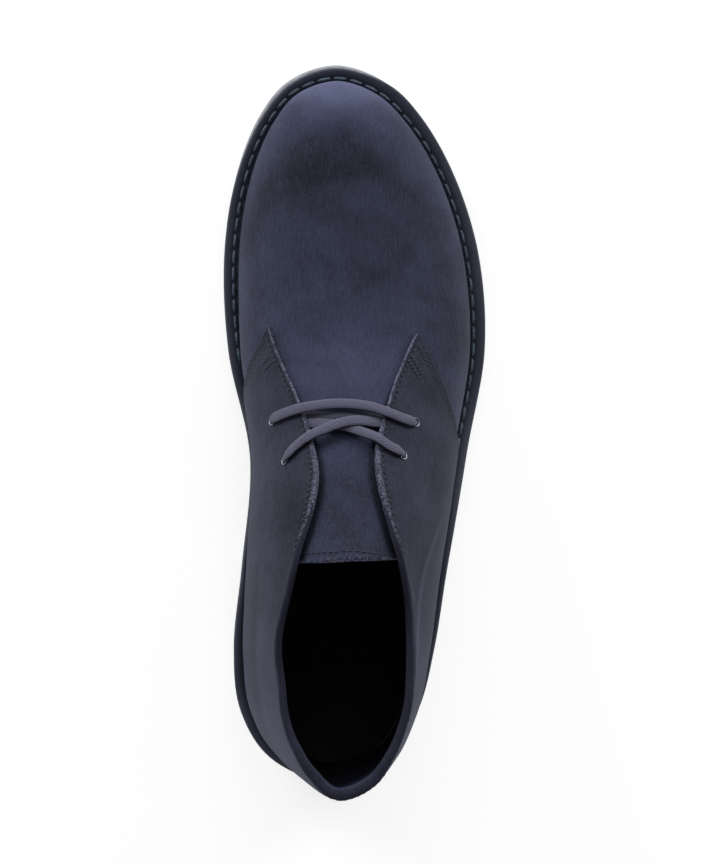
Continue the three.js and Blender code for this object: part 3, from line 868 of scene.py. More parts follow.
def colour(red: float, green: float, blue: float) -> Colour:
    """A linear colour from display values between 0 and 255.

    Args:
        red: Display value of red.
        green: The same of green.
        blue: The same of blue.

    Returns:
        The colour, with full alpha.
    """
    def linear(value: float) -> float:
        """One channel, from display to linear light."""
        share = value / 255.0
        return share / 12.92 if share <= 0.04045 else ((share + 0.055) / 1.055) ** 2.4
    return (linear(red), linear(green), linear(blue), 1.0)


class NapGroup:
    """Node group for brushed leather: grain and clouds about zero, and a height to bump."""

    name: ClassVar[str] = "brushed_nap"
    fine: ClassVar[float] = 0.95
    soft: ClassVar[float] = 0.50

    @classmethod
    def tree(cls) -> bpy.types.NodeTree:
        """The group's tree, built the first time it is asked for.

        Returns:
            The node tree.
        """
        known = bpy.data.node_groups.get(cls.name)
        if known is not None:
            return known
        tree = bpy.data.node_groups.new(cls.name, "ShaderNodeTree")
        face = tree.interface
        face.new_socket("Vector", in_out="INPUT", socket_type="NodeSocketVector")
        for label, value in (("Grain", 900.0), ("Cloud", 45.0)):
            socket = face.new_socket(label, in_out="INPUT", socket_type="NodeSocketFloat")
            socket.default_value = value
        face.new_socket("Shade", in_out="OUTPUT", socket_type="NodeSocketFloat")
        face.new_socket("Height", in_out="OUTPUT", socket_type="NodeSocketFloat")
        n = Nodes(tree)
        source = n.add("NodeGroupInput")
        sink = n.add("NodeGroupOutput")
        where = source.outputs["Vector"]
        grain = n.noise(where, source.outputs["Grain"], 5.0, 0.68)
        cloud = n.noise(where, source.outputs["Cloud"], 5.0, 0.6, 0.6)
        brushed = n.stretched(where, (1.0, 0.16, 0.5), (0, 0, 0.5))
        streak = n.noise(brushed, source.outputs["Grain"], 3.0, 0.6)
        fibre = n.math("ADD", n.math("MULTIPLY", grain, 0.55), n.math("MULTIPLY", streak, 0.45))
        fine = n.math("MULTIPLY", n.math("SUBTRACT", fibre, 0.5), cls.fine)
        soft = n.math("MULTIPLY", n.math("SUBTRACT", cloud, 0.5), cls.soft)
        n.link(n.math("ADD", fine, soft), sink.inputs["Shade"])
        n.link(fibre, sink.inputs["Height"])
        return tree


def new_material(name: str) -> Tuple[bpy.types.Material, Nodes, bpy.types.Node]:
    """An empty node material with its Principled shader.

    Args:
        name: Name of the material.

    Returns:
        The material, a node builder on its tree, and the shader node.
    """
    material = bpy.data.materials.new(name)
    material.use_nodes = True
    tree = material.node_tree
    tree.nodes.clear()
    n = Nodes(tree)
    shader = n.add("ShaderNodeBsdfPrincipled")
    output = n.add("ShaderNodeOutputMaterial")
    n.link(shader.outputs["BSDF"], output.inputs["Surface"])
    return material, n, shader


@dataclass(frozen=True)
class SuedeFinish:
    """Brushed suede: cloudy nap, a lighter cut edge and a soft sheen."""

    name: str
    dark: Colour
    light: Colour
    raw: Colour
    grain: float = 900.0
    cloud: float = 45.0
    speckle: float = 950.0
    bump: float = 0.35
    level: float = 0.235
    sheen: float = 0.14
    sheen_tint: Colour = colour(150, 156, 190)

    def build(self) -> bpy.types.Material:
        """The suede material.

        Attribute "tone" lifts or lowers the shade, painted light and shade included, and
        "cut" shows the raw edge.

        Returns:
            The material.
        """
        material, n, shader = new_material(self.name)
        group = n.add("ShaderNodeGroup", node_tree=NapGroup.tree())
        where = n.object_coordinates()
        n.fill(group, {"Vector": where, "Grain": self.grain, "Cloud": self.cloud})
        shade = n.math("ADD", n.math("ADD", group.outputs["Shade"], self.level),
                       n.attribute("tone"), clamp=True)
        body = n.blend(shade, self.dark, self.light)
        speckle = n.noise(where, self.speckle, 3.0, 0.65)
        cut = n.math("MULTIPLY", n.attribute("cut"), n.span(speckle, 0.44, 0.56, 0.05, 1.0))
        n.relief(shader, group.outputs["Height"], self.bump, 0.0006)
        n.fill(shader, {"Base Color": n.blend(cut, body, self.raw), "Roughness": 0.92,
                        "Specular IOR Level": 0.18, "Sheen Weight": self.sheen,
                        "Sheen Roughness": 0.55, "Sheen Tint": self.sheen_tint})
        return material


@dataclass(frozen=True)
class LeatherFinish:
    """Smooth leather with a fine pore grain; a per-vertex attribute brings painted light
    in a second colour.
    """

    name: str
    dark: Colour
    light: Colour
    # Second colour: painted light, as on the lining near its edge.
    painted_light_colour: Colour = colour(44, 46, 66)
    roughness: float = 0.6
    grain: float = 700.0
    bump: float = 0.2
    specular: float = 0.35

    def build(self) -> bpy.types.Material:
        """The leather material; attribute "tone" lifts the shade.

        Returns:
            The material.
        """
        material, n, shader = new_material(self.name)
        where = n.object_coordinates()
        cloud = n.noise(where, 60.0, 4.0, 0.6)
        grain = n.noise(where, self.grain, 4.0, 0.65)
        shade = n.math("ADD", n.math("MULTIPLY", cloud, 0.6), n.math("MULTIPLY", grain, 0.4))
        spread = n.math("MULTIPLY", n.math("SUBTRACT", shade, 0.5), 1.6)
        lifted = n.math("ADD", n.math("ADD", spread, 0.5), n.attribute("tone"), clamp=True)
        body = n.blend(lifted, self.dark, self.light)
        rough = n.span(grain, 0.3, 0.7, self.roughness - 0.08, self.roughness + 0.1)
        n.relief(shader, grain, self.bump, 0.0004)
        n.fill(shader, {"Base Color": n.blend(n.attribute("dyed"), body, self.painted_light_colour),
                        "Roughness": rough, "Specular IOR Level": self.specular})
        return material


@dataclass(frozen=True)
class CrepeFinish:
    """Moulded crepe rubber: wrinkled where attribute "crepe" is one, fine elsewhere."""

    name: str
    dark: Colour
    light: Colour
    # Colour of the painted highlights on the toe lip and on the heel's breast.
    pale: Colour = colour(174, 175, 182)
    wrinkle: float = 260.0
    warp: float = 0.006
    roughness: float = 0.72

    def build(self) -> bpy.types.Material:
        """The rubber material; "crepe" brings the wrinkles and "pale" a painted highlight.

        Returns:
            The material.
        """
        material, n, shader = new_material(self.name)
        where = n.object_coordinates()
        warp = n.add("ShaderNodeTexNoise")
        n.fill(warp, {"Vector": where, "Scale": 140.0, "Detail": 3.0})
        moved = n.add("ShaderNodeVectorMath", operation="MULTIPLY_ADD")
        n.feed(moved.inputs[0], warp.outputs["Color"])
        n.feed(moved.inputs[1], (self.warp,) * 3)
        n.feed(moved.inputs[2], where)
        folds = n.add("ShaderNodeTexVoronoi", feature="DISTANCE_TO_EDGE")
        n.fill(folds, {"Vector": n.stretched(moved.outputs["Vector"], (1.0, 0.75, 1.0)),
                       "Scale": self.wrinkle})
        ridge = n.span(folds.outputs["Distance"], 0.02, 0.35)
        fine = n.noise(where, 1400.0, 3.0, 0.6)
        mask = n.attribute("crepe")
        high = n.math("ADD", n.math("MULTIPLY", ridge, mask), n.math("MULTIPLY", fine, 0.25))
        cloud = n.noise(where, 35.0, 4.0, 0.6)
        shade = n.math("ADD", n.math("MULTIPLY", high, 0.38), n.math("MULTIPLY", cloud, 0.5),
                       clamp=True)
        body = n.blend(shade, self.dark, self.light)
        rough = n.span(fine, 0.3, 0.7, self.roughness - 0.1, self.roughness + 0.1)
        n.relief(shader, high, 0.7, 0.0007)
        n.fill(shader, {"Base Color": n.blend(n.attribute("pale"), body, self.pale),
                        "Roughness": rough, "Specular IOR Level": 0.4})
        return material


@dataclass(frozen=True)
class WovenFinish:
    """Flat woven cotton: herringbone ribs from attributes "along" and "around"."""

    name: str
    dark: Colour
    light: Colour
    pitch: float = 0.95
    slant: float = 1.3

    def build(self) -> bpy.types.Material:
        """The woven material; "along" and "around" are distances in millimetres.

        Returns:
            The material.
        """
        material, n, shader = new_material(self.name)
        along, around = n.attribute("along"), n.attribute("around")
        lean = n.math("MULTIPLY", n.math("ABSOLUTE", around), self.slant)
        phase = n.math("DIVIDE", n.math("ADD", along, lean), self.pitch)
        rib = n.math("PINGPONG", phase, 0.5)
        strand = n.math("PINGPONG", n.math("DIVIDE", around, 0.55), 0.5)
        weave = n.math("ADD", n.math("MULTIPLY", rib, 1.3), n.math("MULTIPLY", strand, 0.7))
        fuzz = n.noise(n.object_coordinates(), 2200.0, 2.0, 0.6)
        high = n.math("ADD", weave, n.math("MULTIPLY", fuzz, 0.35))
        shade = n.math("ADD", n.span(high, 0.38, 0.95), n.attribute("tone"), clamp=True)
        n.relief(shader, high, 0.7, 0.0004)
        n.fill(shader, {"Base Color": n.blend(shade, self.dark, self.light), "Roughness": 0.85,
                        "Specular IOR Level": 0.2, "Sheen Weight": 0.25,
                        "Sheen Tint": colour(190, 192, 214)})
        return material


@dataclass(frozen=True)
class ThreadFinish:
    """Waxed thread with a fine twist."""

    name: str
    dark: Colour
    light: Colour

    def build(self) -> bpy.types.Material:
        """The thread material.

        Returns:
            The material.
        """
        material, n, shader = new_material(self.name)
        where = n.object_coordinates()
        twist = n.noise(n.stretched(where, (1.0, 1.0, 1.0), (0.6, 0.4, 0.8)), 1500.0, 2.0, 0.5)
        body = n.blend(n.span(twist, 0.3, 0.7), self.dark, self.light)
        n.relief(shader, twist, 0.4, 0.0003)
        n.fill(shader, {"Base Color": body, "Roughness": 0.6, "Specular IOR Level": 0.35})
        return material


@dataclass(frozen=True)
class EnamelFinish:
    """Dark enamelled metal, painted brighter along the top of its rim as a glint."""

    name: str
    dark: Colour
    bright: Colour

    def build(self) -> bpy.types.Material:
        """The metal material; a per-vertex mask paints a glint along the top of the rim.

        Returns:
            The material.
        """
        material, n, shader = new_material(self.name)
        spots = n.noise(n.object_coordinates(), 1200.0, 3.0, 0.6)
        glint = n.math("MULTIPLY", n.attribute("rub"), n.span(spots, 0.25, 0.6, 0.6, 1.0))
        n.fill(shader, {"Base Color": n.blend(glint, self.dark, self.bright), "Metallic": 1.0,
                        "Roughness": n.span(spots, 0.3, 0.7, 0.22, 0.38)})
        return material


@dataclass(frozen=True)
class Finishes:
    """Every finish of the boot, built once."""

    vamp: bpy.types.Material
    quarter: bpy.types.Material
    collar_painted_shade: bpy.types.Material
    welt: bpy.types.Material
    lining: bpy.types.Material
    footbed: bpy.types.Material
    rubber: bpy.types.Material
    heel: bpy.types.Material
    lace: bpy.types.Material
    thread: bpy.types.Material
    welt_thread: bpy.types.Material
    metal: bpy.types.Material

    @staticmethod
    def make() -> "Finishes":
        """Builds every material.

        Returns:
            The finishes.
        """
        return Finishes(
            vamp=SuedeFinish("vamp_suede", colour(24, 26, 37), colour(78, 83, 111),
                             colour(104, 108, 130), grain=1150.0).build(),
            quarter=SuedeFinish("quarter_suede", colour(26, 27, 37), colour(81, 82, 104),
                                colour(112, 114, 134), grain=1150.0, cloud=38.0).build(),
            # The collar roll's suede is a darker copy of the quarter's: painted shade on the turned
            # roll.
            collar_painted_shade=SuedeFinish("collar_suede_painted_shade", colour(20, 20, 30), colour(66, 67, 90),
                                colour(100, 104, 124), grain=1300.0, level=0.26).build(),
            welt=LeatherFinish("welt_leather", colour(38, 42, 54), colour(62, 67, 84)).build(),
            # Its third colour is the painted light near the lining's edge.
            lining=LeatherFinish("lining_leather", colour(9, 8, 10), colour(20, 19, 20),
                                 colour(52, 54, 78), roughness=0.7, specular=0.2).build(),
            footbed=LeatherFinish("footbed_leather", colour(34, 29, 29), colour(54, 47, 46),
                                  roughness=0.75, specular=0.1).build(),
            rubber=CrepeFinish("crepe_rubber", colour(26, 25, 28), colour(66, 64, 68)).build(),
            heel=CrepeFinish("heel_rubber", colour(26, 25, 28), colour(60, 58, 62),
                             wrinkle=700.0).build(),
            lace=WovenFinish("lace_cotton", colour(18, 18, 26), colour(110, 109, 132)).build(),
            thread=ThreadFinish("seam_thread", colour(10, 11, 18), colour(46, 48, 66)).build(),
            welt_thread=ThreadFinish("welt_thread", colour(44, 54, 66),
                                     colour(88, 102, 118)).build(),
            metal=EnamelFinish("eyelet_enamel", colour(20, 22, 30), colour(122, 126, 138)).build(),
        )


# --------------------------------------------------------------------------- bottom


@dataclass
class BottomUnit:
    """Outsole, heel block, welt with its stitches, and insole."""

    sole: Sole
    last: Last
    columns: int = 240
    breast_lateral: float = 0.668
    breast_medial: float = 0.652
    heel_taper: float = 2.7
    edge_round: float = 1.2
    wall: float = 2.0
    cover: float = 1.5
    seat: float = 2.15
    waist_seat: float = 1.2
    stitch_pitch: float = 6.9
    stitch_length: float = 5.8
    stitch_width: float = 1.45
    stitch_height: float = 0.8
    stitched: Tuple[float, float] = (-0.43, 0.60)
    footbed_tuck: float = 0.9
    footbed_rise: float = 0.9

    def _around(self) -> Array:
        """Even places around the sole, from the heel over the inner side and back."""
        return np.linspace(-1.0, 1.0, self.columns, endpoint=False)

    def _plate(self, levels: Sequence[Level], start_medial: float, start_lateral: float,
               rows: int, across: int,
               mask: Optional[Callable[[Array], Dict[str, Array]]] = None) -> Patch:
        """A plate between both sides of the outline, closed by its edge.

        Each row runs straight from the inner side to the outer; the first and last level
        are the bottom and top faces, and all levels together make the edge. The bottom
        ring of the edge is laid twice, and welding merges the two.

        Args:
            levels: Inset and height of each level, as functions of the walk and of y.
            start_medial: Share of the inner side where the plate begins.
            start_lateral: The same on the outer side.
            rows: Rows from front to back.
            across: Columns from side to side.
            mask: Gives named values at points.

        Returns:
            The patch, with its doubles left to merge.
        """
        share, spread = crowded(rows), crowded(across)
        medial = -mix(start_medial, 1.0, share)
        lateral = mix(start_lateral, 1.0, share)
        grids: List[Array] = []
        for inset, height in levels:
            left = self.sole.rim(medial, inset(medial))
            right = self.sole.rim(lateral, inset(lateral))
            plan = left[:, None] + (right - left)[:, None] * spread[None, :, None]
            grids.append(np.concatenate([plan, height(plan[..., 1])[..., None]], axis=2))

        def edge(grid: Array) -> Array:
            """The grid's border as one closed ring."""
            return np.concatenate([grid[:-1, 0], grid[-1, :-1], grid[:0:-1, -1], grid[0, :0:-1]])

        wall = np.stack([edge(grid) for grid in grids[:1] + grids], axis=1)
        patch = Patch.grid(grids[0]).joined(
            Patch.grid(wall, wrap_columns=True), Patch.grid(grids[-1], flip=True))
        if mask is not None:
            patch.values.update(mask(patch.points))
        return patch

    def _outsole(self, finishes: Finishes) -> None:
        """Rubber outsole: wrinkled crepe under the forefoot, and a painted highlight on the toe
        lip.

        Args:
            finishes: Finishes of all pieces.
        """
        sole = self.sole
        under, top = sole.underside, sole.outsole
        r = self.edge_round
        levels = [
            (held(r), under),
            (held(0.35 * r), lambda y: under(y) + 0.3 * r),
            (held(0.05), lambda y: under(y) + r),
            (held(0.15), lambda y: under(y) + 0.5 * top),
            (held(0.05), lambda y: under(y) + top - 0.6),
            (lambda u: 0.3 + 0.5 * sole.setback(u), lambda y: under(y) + top - 0.2),
            (lambda u: 0.5 + 1.2 * sole.setback(u), lambda y: under(y) + top),
            (lambda u: 1.0 + 1.2 * sole.setback(u), lambda y: under(y) + top),
        ]

        def mask(points: Array) -> Dict[str, Array]:
            """Crepe under the forefoot, fading out at the waist, and a painted highlight on the toe
            lip.

            Args:
                points: Places in millimetres.

            Returns:
                The named values.
            """
            y, z = points[:, 1], points[:, 2]
            below = z < under(y) + 0.4
            crepe = np.where(below, after(y, -6.0, 34.0), 0.35)
            # Painted highlight on the upper edge of the sole round the toe.
            lip = after(y, 88.0, 40.0) * before(points[:, 0], 26.0, 30.0)
            pale = np.where(z > under(y) + 3.0, lip, 0.0)
            return {"crepe": crepe, "pale": pale}

        patch = self._plate(levels, 0.0, 0.0, 181, 41, mask)
        build_object("outsole_rubber", patch, finishes.rubber,
                     replaces=("outsole",), merge=0.02)

    def _heel(self, finishes: Finishes) -> None:
        """Heel block, drawn in toward the ground, with a top piece line and soft edges.

        Args:
            finishes: Finishes of all pieces.
        """
        sole = self.sole
        high = sole.heel_height - sole.gap
        taper = self.heel_taper

        def seat(y: Array) -> Array:
            """Height of the block's top, just under the outsole."""
            return sole.underside(y) - sole.gap

        def level(height: float, extra: float) -> Level:
            """One ring of the block: inset and height."""
            inset = mix(taper, self.edge_round, height / high) + extra
            return held(inset), lambda y: np.minimum(np.full_like(y, height), seat(y))

        levels = [
            level(0.0, 0.9), level(0.3, 0.3), level(0.9, 0.0), level(4.6, 0.0),
            level(5.0, 0.25), level(5.4, 0.0), level(high - 0.5, 0.0),
            (held(self.edge_round + 0.4), seat),
        ]

        def mask(points: Array) -> Dict[str, Array]:
            """Slight wrinkles all over, and a painted highlight on the breast edge."""
            front = after(points[:, 1], -62.0, 8.0)
            # Painted highlight toward the front of the heel block.
            return {"crepe": np.full(len(points), 0.6), "pale": 0.5 * front}

        patch = self._plate(levels, self.breast_medial, self.breast_lateral, 91, 31, mask)
        build_object("heel_block", patch, finishes.heel,
                     replaces=("heel",), merge=0.02)

    def _welt(self, finishes: Finishes) -> None:
        """Leather welt: rounded outer edge, a flat ledge, and a groove for the stitches.

        Args:
            finishes: Finishes of all pieces.
        """
        sole, last = self.sole, self.last
        u = self._around()
        ledge = last.sided("ledge", u)
        low, high = sole.outsole + sole.gap, sole.welt_top
        bottom = 0.15
        back = sole.setback(u)
        seat = self.stitch_seat(u)
        inner, inside = ledge - seat, ledge + self.wall + self.cover
        stations = [
            (back + 0.35, low - bottom),
            (back, low + 0.4),
            (back - 0.05, high - 1.0),
            (back + 0.25, high - 0.3),
            (back + 0.8, high),
            (mix(back + 0.8, inner - 1.1, 0.6), high + 0.05),
            (inner - 1.1, high),
            (inner - 0.75, high - 0.22),
            (inner + 0.75, high - 0.30),
            (inner + 1.0, high - 0.45),
            (ledge + 0.2, high - 0.55),
            (ledge + 1.2, high),
            (inside, high),
            (inside, low - bottom),
        ]
        rows = []
        for inset, level in stations:
            plan = sole.rim(u, inset)
            rows.append(np.column_stack([plan, sole.underside(plan[:, 1]) + level]))
        patch = Patch.grid(np.stack(rows, axis=1), wrap_columns=True, wrap_rows=True)
        patch.values["tone"] = 0.12 * wave_noise(*patch.points.T, 60.0, 3)
        build_object("welt_strip", patch, finishes.welt, replaces=("welt",))

    def stitch_seat(self, u: Array) -> Array:
        """Distance of the welt stitches outside the upper; closer at the inner waist."""
        share = -Sole.wrap(u)
        waist = after(share, 0.34, 0.12) * before(share, 0.80, 0.12)
        return mix(self.seat, self.waist_seat, waist)

    def _insole(self, finishes: Finishes) -> None:
        """Footbed: a plate with a bevelled edge, inside the welt.

        Args:
            finishes: Finishes of all pieces.
        """
        sole, last = self.sole, self.last

        def inset(u: Array) -> Array:
            """Edge of the footbed, tucked just under the lining."""
            return last.sided("ledge", u) + self.wall + self.cover + sole.gap - self.footbed_tuck

        def top(y: Array) -> Array:
            """Upper face of the footbed."""
            return sole.underside(y) + sole.welt_top + self.footbed_rise

        def bottom(y: Array) -> Array:
            """Lower face of the footbed."""
            return sole.underside(y) + sole.outsole + sole.gap

        levels = [
            (inset, bottom), (inset, lambda y: top(y) - 0.6),
            (lambda u: inset(u) + 0.5, top), (lambda u: inset(u) + 1.0, top),
        ]
        patch = self._plate(levels, 0.0, 0.0, 121, 31)
        build_object("footbed", patch, finishes.footbed,
                     replaces=("insole",), merge=0.02)

    def _stitches(self, finishes: Finishes) -> None:
        """Lockstitch on the welt, lying in the groove beside the upper.

        Args:
            finishes: Finishes of all pieces.
        """
        u = np.linspace(self.stitched[0], self.stitched[1], 4001)
        plan = self.sole.rim(u, self.last.sided("ledge", u) - self.stitch_seat(u))
        path = np.column_stack([plan, self.sole.underside(plan[:, 1]) + self.sole.welt_top - 0.12])
        row = StitchRow(self.stitch_pitch, self.stitch_length, self.stitch_width,
                        self.stitch_height)
        normals = np.broadcast_to(np.array([0.0, 0.0, 1.0]), path.shape)
        build_object("welt_stitches", row.lay(path, normals), finishes.welt_thread,
                     recalculate=False)

    def build(self, finishes: Finishes) -> None:
        """Builds every piece below the upper.

        Args:
            finishes: Finishes of all pieces.
        """
        self._outsole(finishes)
        self._heel(finishes)
        self._welt(finishes)
        self._insole(finishes)
        self._stitches(finishes)


@dataclass
class StitchRow:
    """A row of short stitches along a path, each a small bent capsule."""

    pitch: float
    length: float
    width: float
    height: float
    arch: float = 0.35
    rings: int = 7
    sides: int = 8

    def _capsule(self) -> Patch:
        """One stitch: ellipse rings along X, thin and low at both ends.

        The radius goes as the square root of one minus the fourth power of the place. The
        middle line rises by one minus the square of the place.

        Returns:
            The patch.
        """
        place = -np.cos(np.linspace(0.0, math.pi, self.rings))
        radius = np.sqrt(np.maximum(1.0 - place**4, 0.0))
        turn = turns(self.sides)
        x = np.broadcast_to(place[:, None] * self.length / 2, (self.rings, self.sides))
        y = radius[:, None] * np.cos(turn) * self.width / 2
        arch = (1.0 - place**2)[:, None] * self.height * self.arch
        z = radius[:, None] * np.sin(turn) * self.height / 2 + arch
        return Patch.grid(np.stack([x, y, z], axis=2), wrap_rows=True, flip=True)

    def lay(self, path: Array, normals: Array) -> Patch:
        """Lays the row along a path.

        Args:
            path: Points of the path, close together.
            normals: Upward direction at each point.

        Returns:
            All stitches as one patch.
        """
        steps = np.linalg.norm(np.diff(path, axis=0), axis=1)
        walked = np.concatenate([[0.0], np.cumsum(steps)])
        count = max(int(round(walked[-1] / self.pitch)), 1)
        middles = (np.arange(count) + 0.5) * walked[-1] / count

        def at(distance: Array, array: Array) -> Array:
            """An array read at distances along the path."""
            return np.stack([np.interp(distance, walked, array[:, k]) for k in range(3)], axis=1)

        half = self.length / 2
        along = unit(at(middles + half, path) - at(middles - half, path))
        above = at(middles, np.asarray(normals))
        across = unit(np.cross(above, along))
        above = unit(np.cross(along, across))
        axes = np.stack([along, across, above], axis=1)
        return repeat_patch(self._capsule(), at(middles, path), axes)


# --------------------------------------------------------------------------- upper


@dataclass(frozen=True)
class NapAndPaintedLight:
    """Painted light and shade on the suede, partly brushed nap, as parts of its full range of
    shade.

    Fields named arch_x to arch_reach lay out the vamp's band of painted shade in
    millimetres; all the others are amounts, below zero where the suede is painted darker.
    """

    arch_x: float = -9.0
    arch_y: float = 106.0
    arch_fall: float = 0.0165
    arch_reach: float = 9.5
    # Painted shade: the band across the flat top of the toe.
    arch: float = -0.15
    # Painted highlights on the toe and at its tip.
    toe: float = 0.34
    toe_tip_painted_highlight: float = 0.24
    # Paler toward the throat: partly brushed nap, partly a painted highlight.
    throat: float = 0.25
    # Painted shade on the vamp's flanks.
    flank_medial_painted_shade: float = -0.07
    flank_lateral_painted_shade: float = -0.08
    # Painted shadow beside a quarter's edge.
    painted_edge_shadow_strength: float = -0.16
    collar_medial: float = 0.13
    collar_lateral: float = 0.05
    # Painted highlight on the ridges, painted shade in the hollow.
    ridge: float = 0.26
    # Painted shade at a corner of the medial quarter, near the throat.
    painted_corner_shade: float = -0.12
    base_medial: float = -0.03
    # Painted shade toward the rear of both quarters and low on the outer side.
    rear_medial_painted_shade: float = -0.09
    side_lateral_painted_shade: float = -0.17
    rear_lateral_painted_shade: float = -0.12
    cloud: float = 0.05
    # Painted shade in the pressed stitch lines and on the turned-in strip.
    pressed: float = -0.14
    turned: float = -0.16

    def vamp(self, points: Array) -> Array:
        """Tone over the vamp.

        The toe carries a painted highlight. Behind it a band of painted shade follows an arch,
        its middle line falling with the square of the distance from the arch's axis. From there
        the suede grows paler again toward the throat, partly brushed nap and partly a painted
        highlight. The flanks carry painted shade.

        Args:
            points: Places in millimetres.

        Returns:
            The tone at each place.
        """
        x, y, z = np.moveaxis(points, -1, 0)
        across = x - self.arch_x
        ahead = y - (self.arch_y - self.arch_fall * across**2)
        # Painted shade in a band over the flat top of the toe.
        band = self.arch * bell(ahead, self.arch_reach) * before(np.abs(across), 50.0, 22.0)
        outward = mix(1.0, 0.12, after(x, -4.0, 24.0))
        inward = mix(0.1, 1.0, after(x, -36.0, 24.0))
        # Painted highlight on the toe's slope and at its tip.
        toe = self.toe * after(ahead, 8.0, 17.0) * inward * outward
        toe = toe + self.toe_tip_painted_highlight * after(y, 126.0, 10.0)
        middle = mix(0.35, 1.0, before(np.abs(x + 4.0), 46.0, 24.0))
        # Paler toward the throat: partly brushed nap, partly a painted highlight.
        throat = self.throat * before(y, 78.0, 70.0) * after(y, -30.0, 30.0) * middle
        cloud = self.cloud * wave_noise(x, y, z, 70.0, 11) + 0.035 * wave_noise(x, y, z, 26.0, 5)
        fleck = self.cloud * wave_noise(x, y, z, 13.0, 21) * wave_noise(x, y, z, 31.0, 8)
        # Painted shade on the vamp's flanks.
        painted_flank_shade = self.flank_medial_painted_shade * before(x, -22.0, 14.0) * before(y, 70.0, 25.0)
        painted_flank_shade = painted_flank_shade + self.flank_lateral_painted_shade * after(x, 22.0, 14.0) * before(y, 100.0, 30.0)
        return band + toe + throat + painted_flank_shade + cloud + fleck

    def painted_edge_shadow(self, covered: Array, outside: Array) -> Array:
        """Painted shadow on the vamp beside the edge of a quarter that rests on it.

        Args:
            covered: How much of a quarter there is at each place, 0 to 1.
            outside: Distance outside the quarter's edge, in millimetres.

        Returns:
            Negative tone, strongest beside the edge.
        """
        return self.painted_edge_shadow_strength * covered * bell(np.maximum(outside, 0.0), 1.3)

    def quarter(self, side: Side, at: Array, v: Array, points: Array) -> Array:
        """Tone over a quarter: clouds, a paler collar, painted highlights on the ridges, and
        painted shade in the hollow, at a corner, toward the rear and low on the outer side.

        Args:
            side: Side of the boot.
            at: Share of the side's length.
            v: Height share.
            points: The same places in space.

        Returns:
            The tone at each place.
        """
        x, y, z = np.moveaxis(points, -1, 0)
        streak = 0.03 * wave_noise(x, y, z * 0.3, 19.0, 5)
        cloud = self.cloud * wave_noise(x, y, z, 60.0, 11) + streak
        below = Last.edge(FACING, at * side.value) - v
        amount = self.collar_medial if side is Side.MEDIAL else self.collar_lateral
        collar = amount * after(at, 0.68, 0.08) * before(below, 0.24, 0.12)
        # Painted highlight along the ridges, painted shade in the hollow.
        tone = cloud + collar + self.ridge * ridges(side, at, v)
        if side is Side.MEDIAL:
            # Painted shade at a corner near the throat.
            painted_corner_shade = bell(at - 0.60, 0.035) * bell(below - 0.13, 0.08)
            # Painted shade toward the rear.
            rear = self.rear_medial_painted_shade * after(at, 0.52, 0.1)
            return tone + self.base_medial + rear + self.painted_corner_shade * painted_corner_shade
        # Painted shade low on the outer side and toward the rear.
        painted_flank_shade = before(v, 0.62, 0.25) * before(at, 0.86, 0.16) * after(at, 0.42, 0.14)
        return tone + self.side_lateral_painted_shade * painted_flank_shade + self.rear_lateral_painted_shade * after(at, 0.60, 0.12)


def ridges(side: Side, at: Array, v: Array) -> Array:
    """Height of the soft ridges pressed into a quarter, 1 at the highest crest.

    Args:
        side: Side of the boot.
        at: Share of the side's length.
        v: Height share.

    Returns:
        The height at each place.
    """
    total = np.zeros(np.broadcast(at, v).shape)
    for ridge in RIDGES[side]:
        crest = follow(ridge.at, ridge.up, at, free=True)
        inside = after(at, ridge.at[0], RIDGE_END) * before(at, ridge.at[-1], RIDGE_END)
        total = total + ridge.height * inside * bell(v - crest, ridge.reach)
    return total


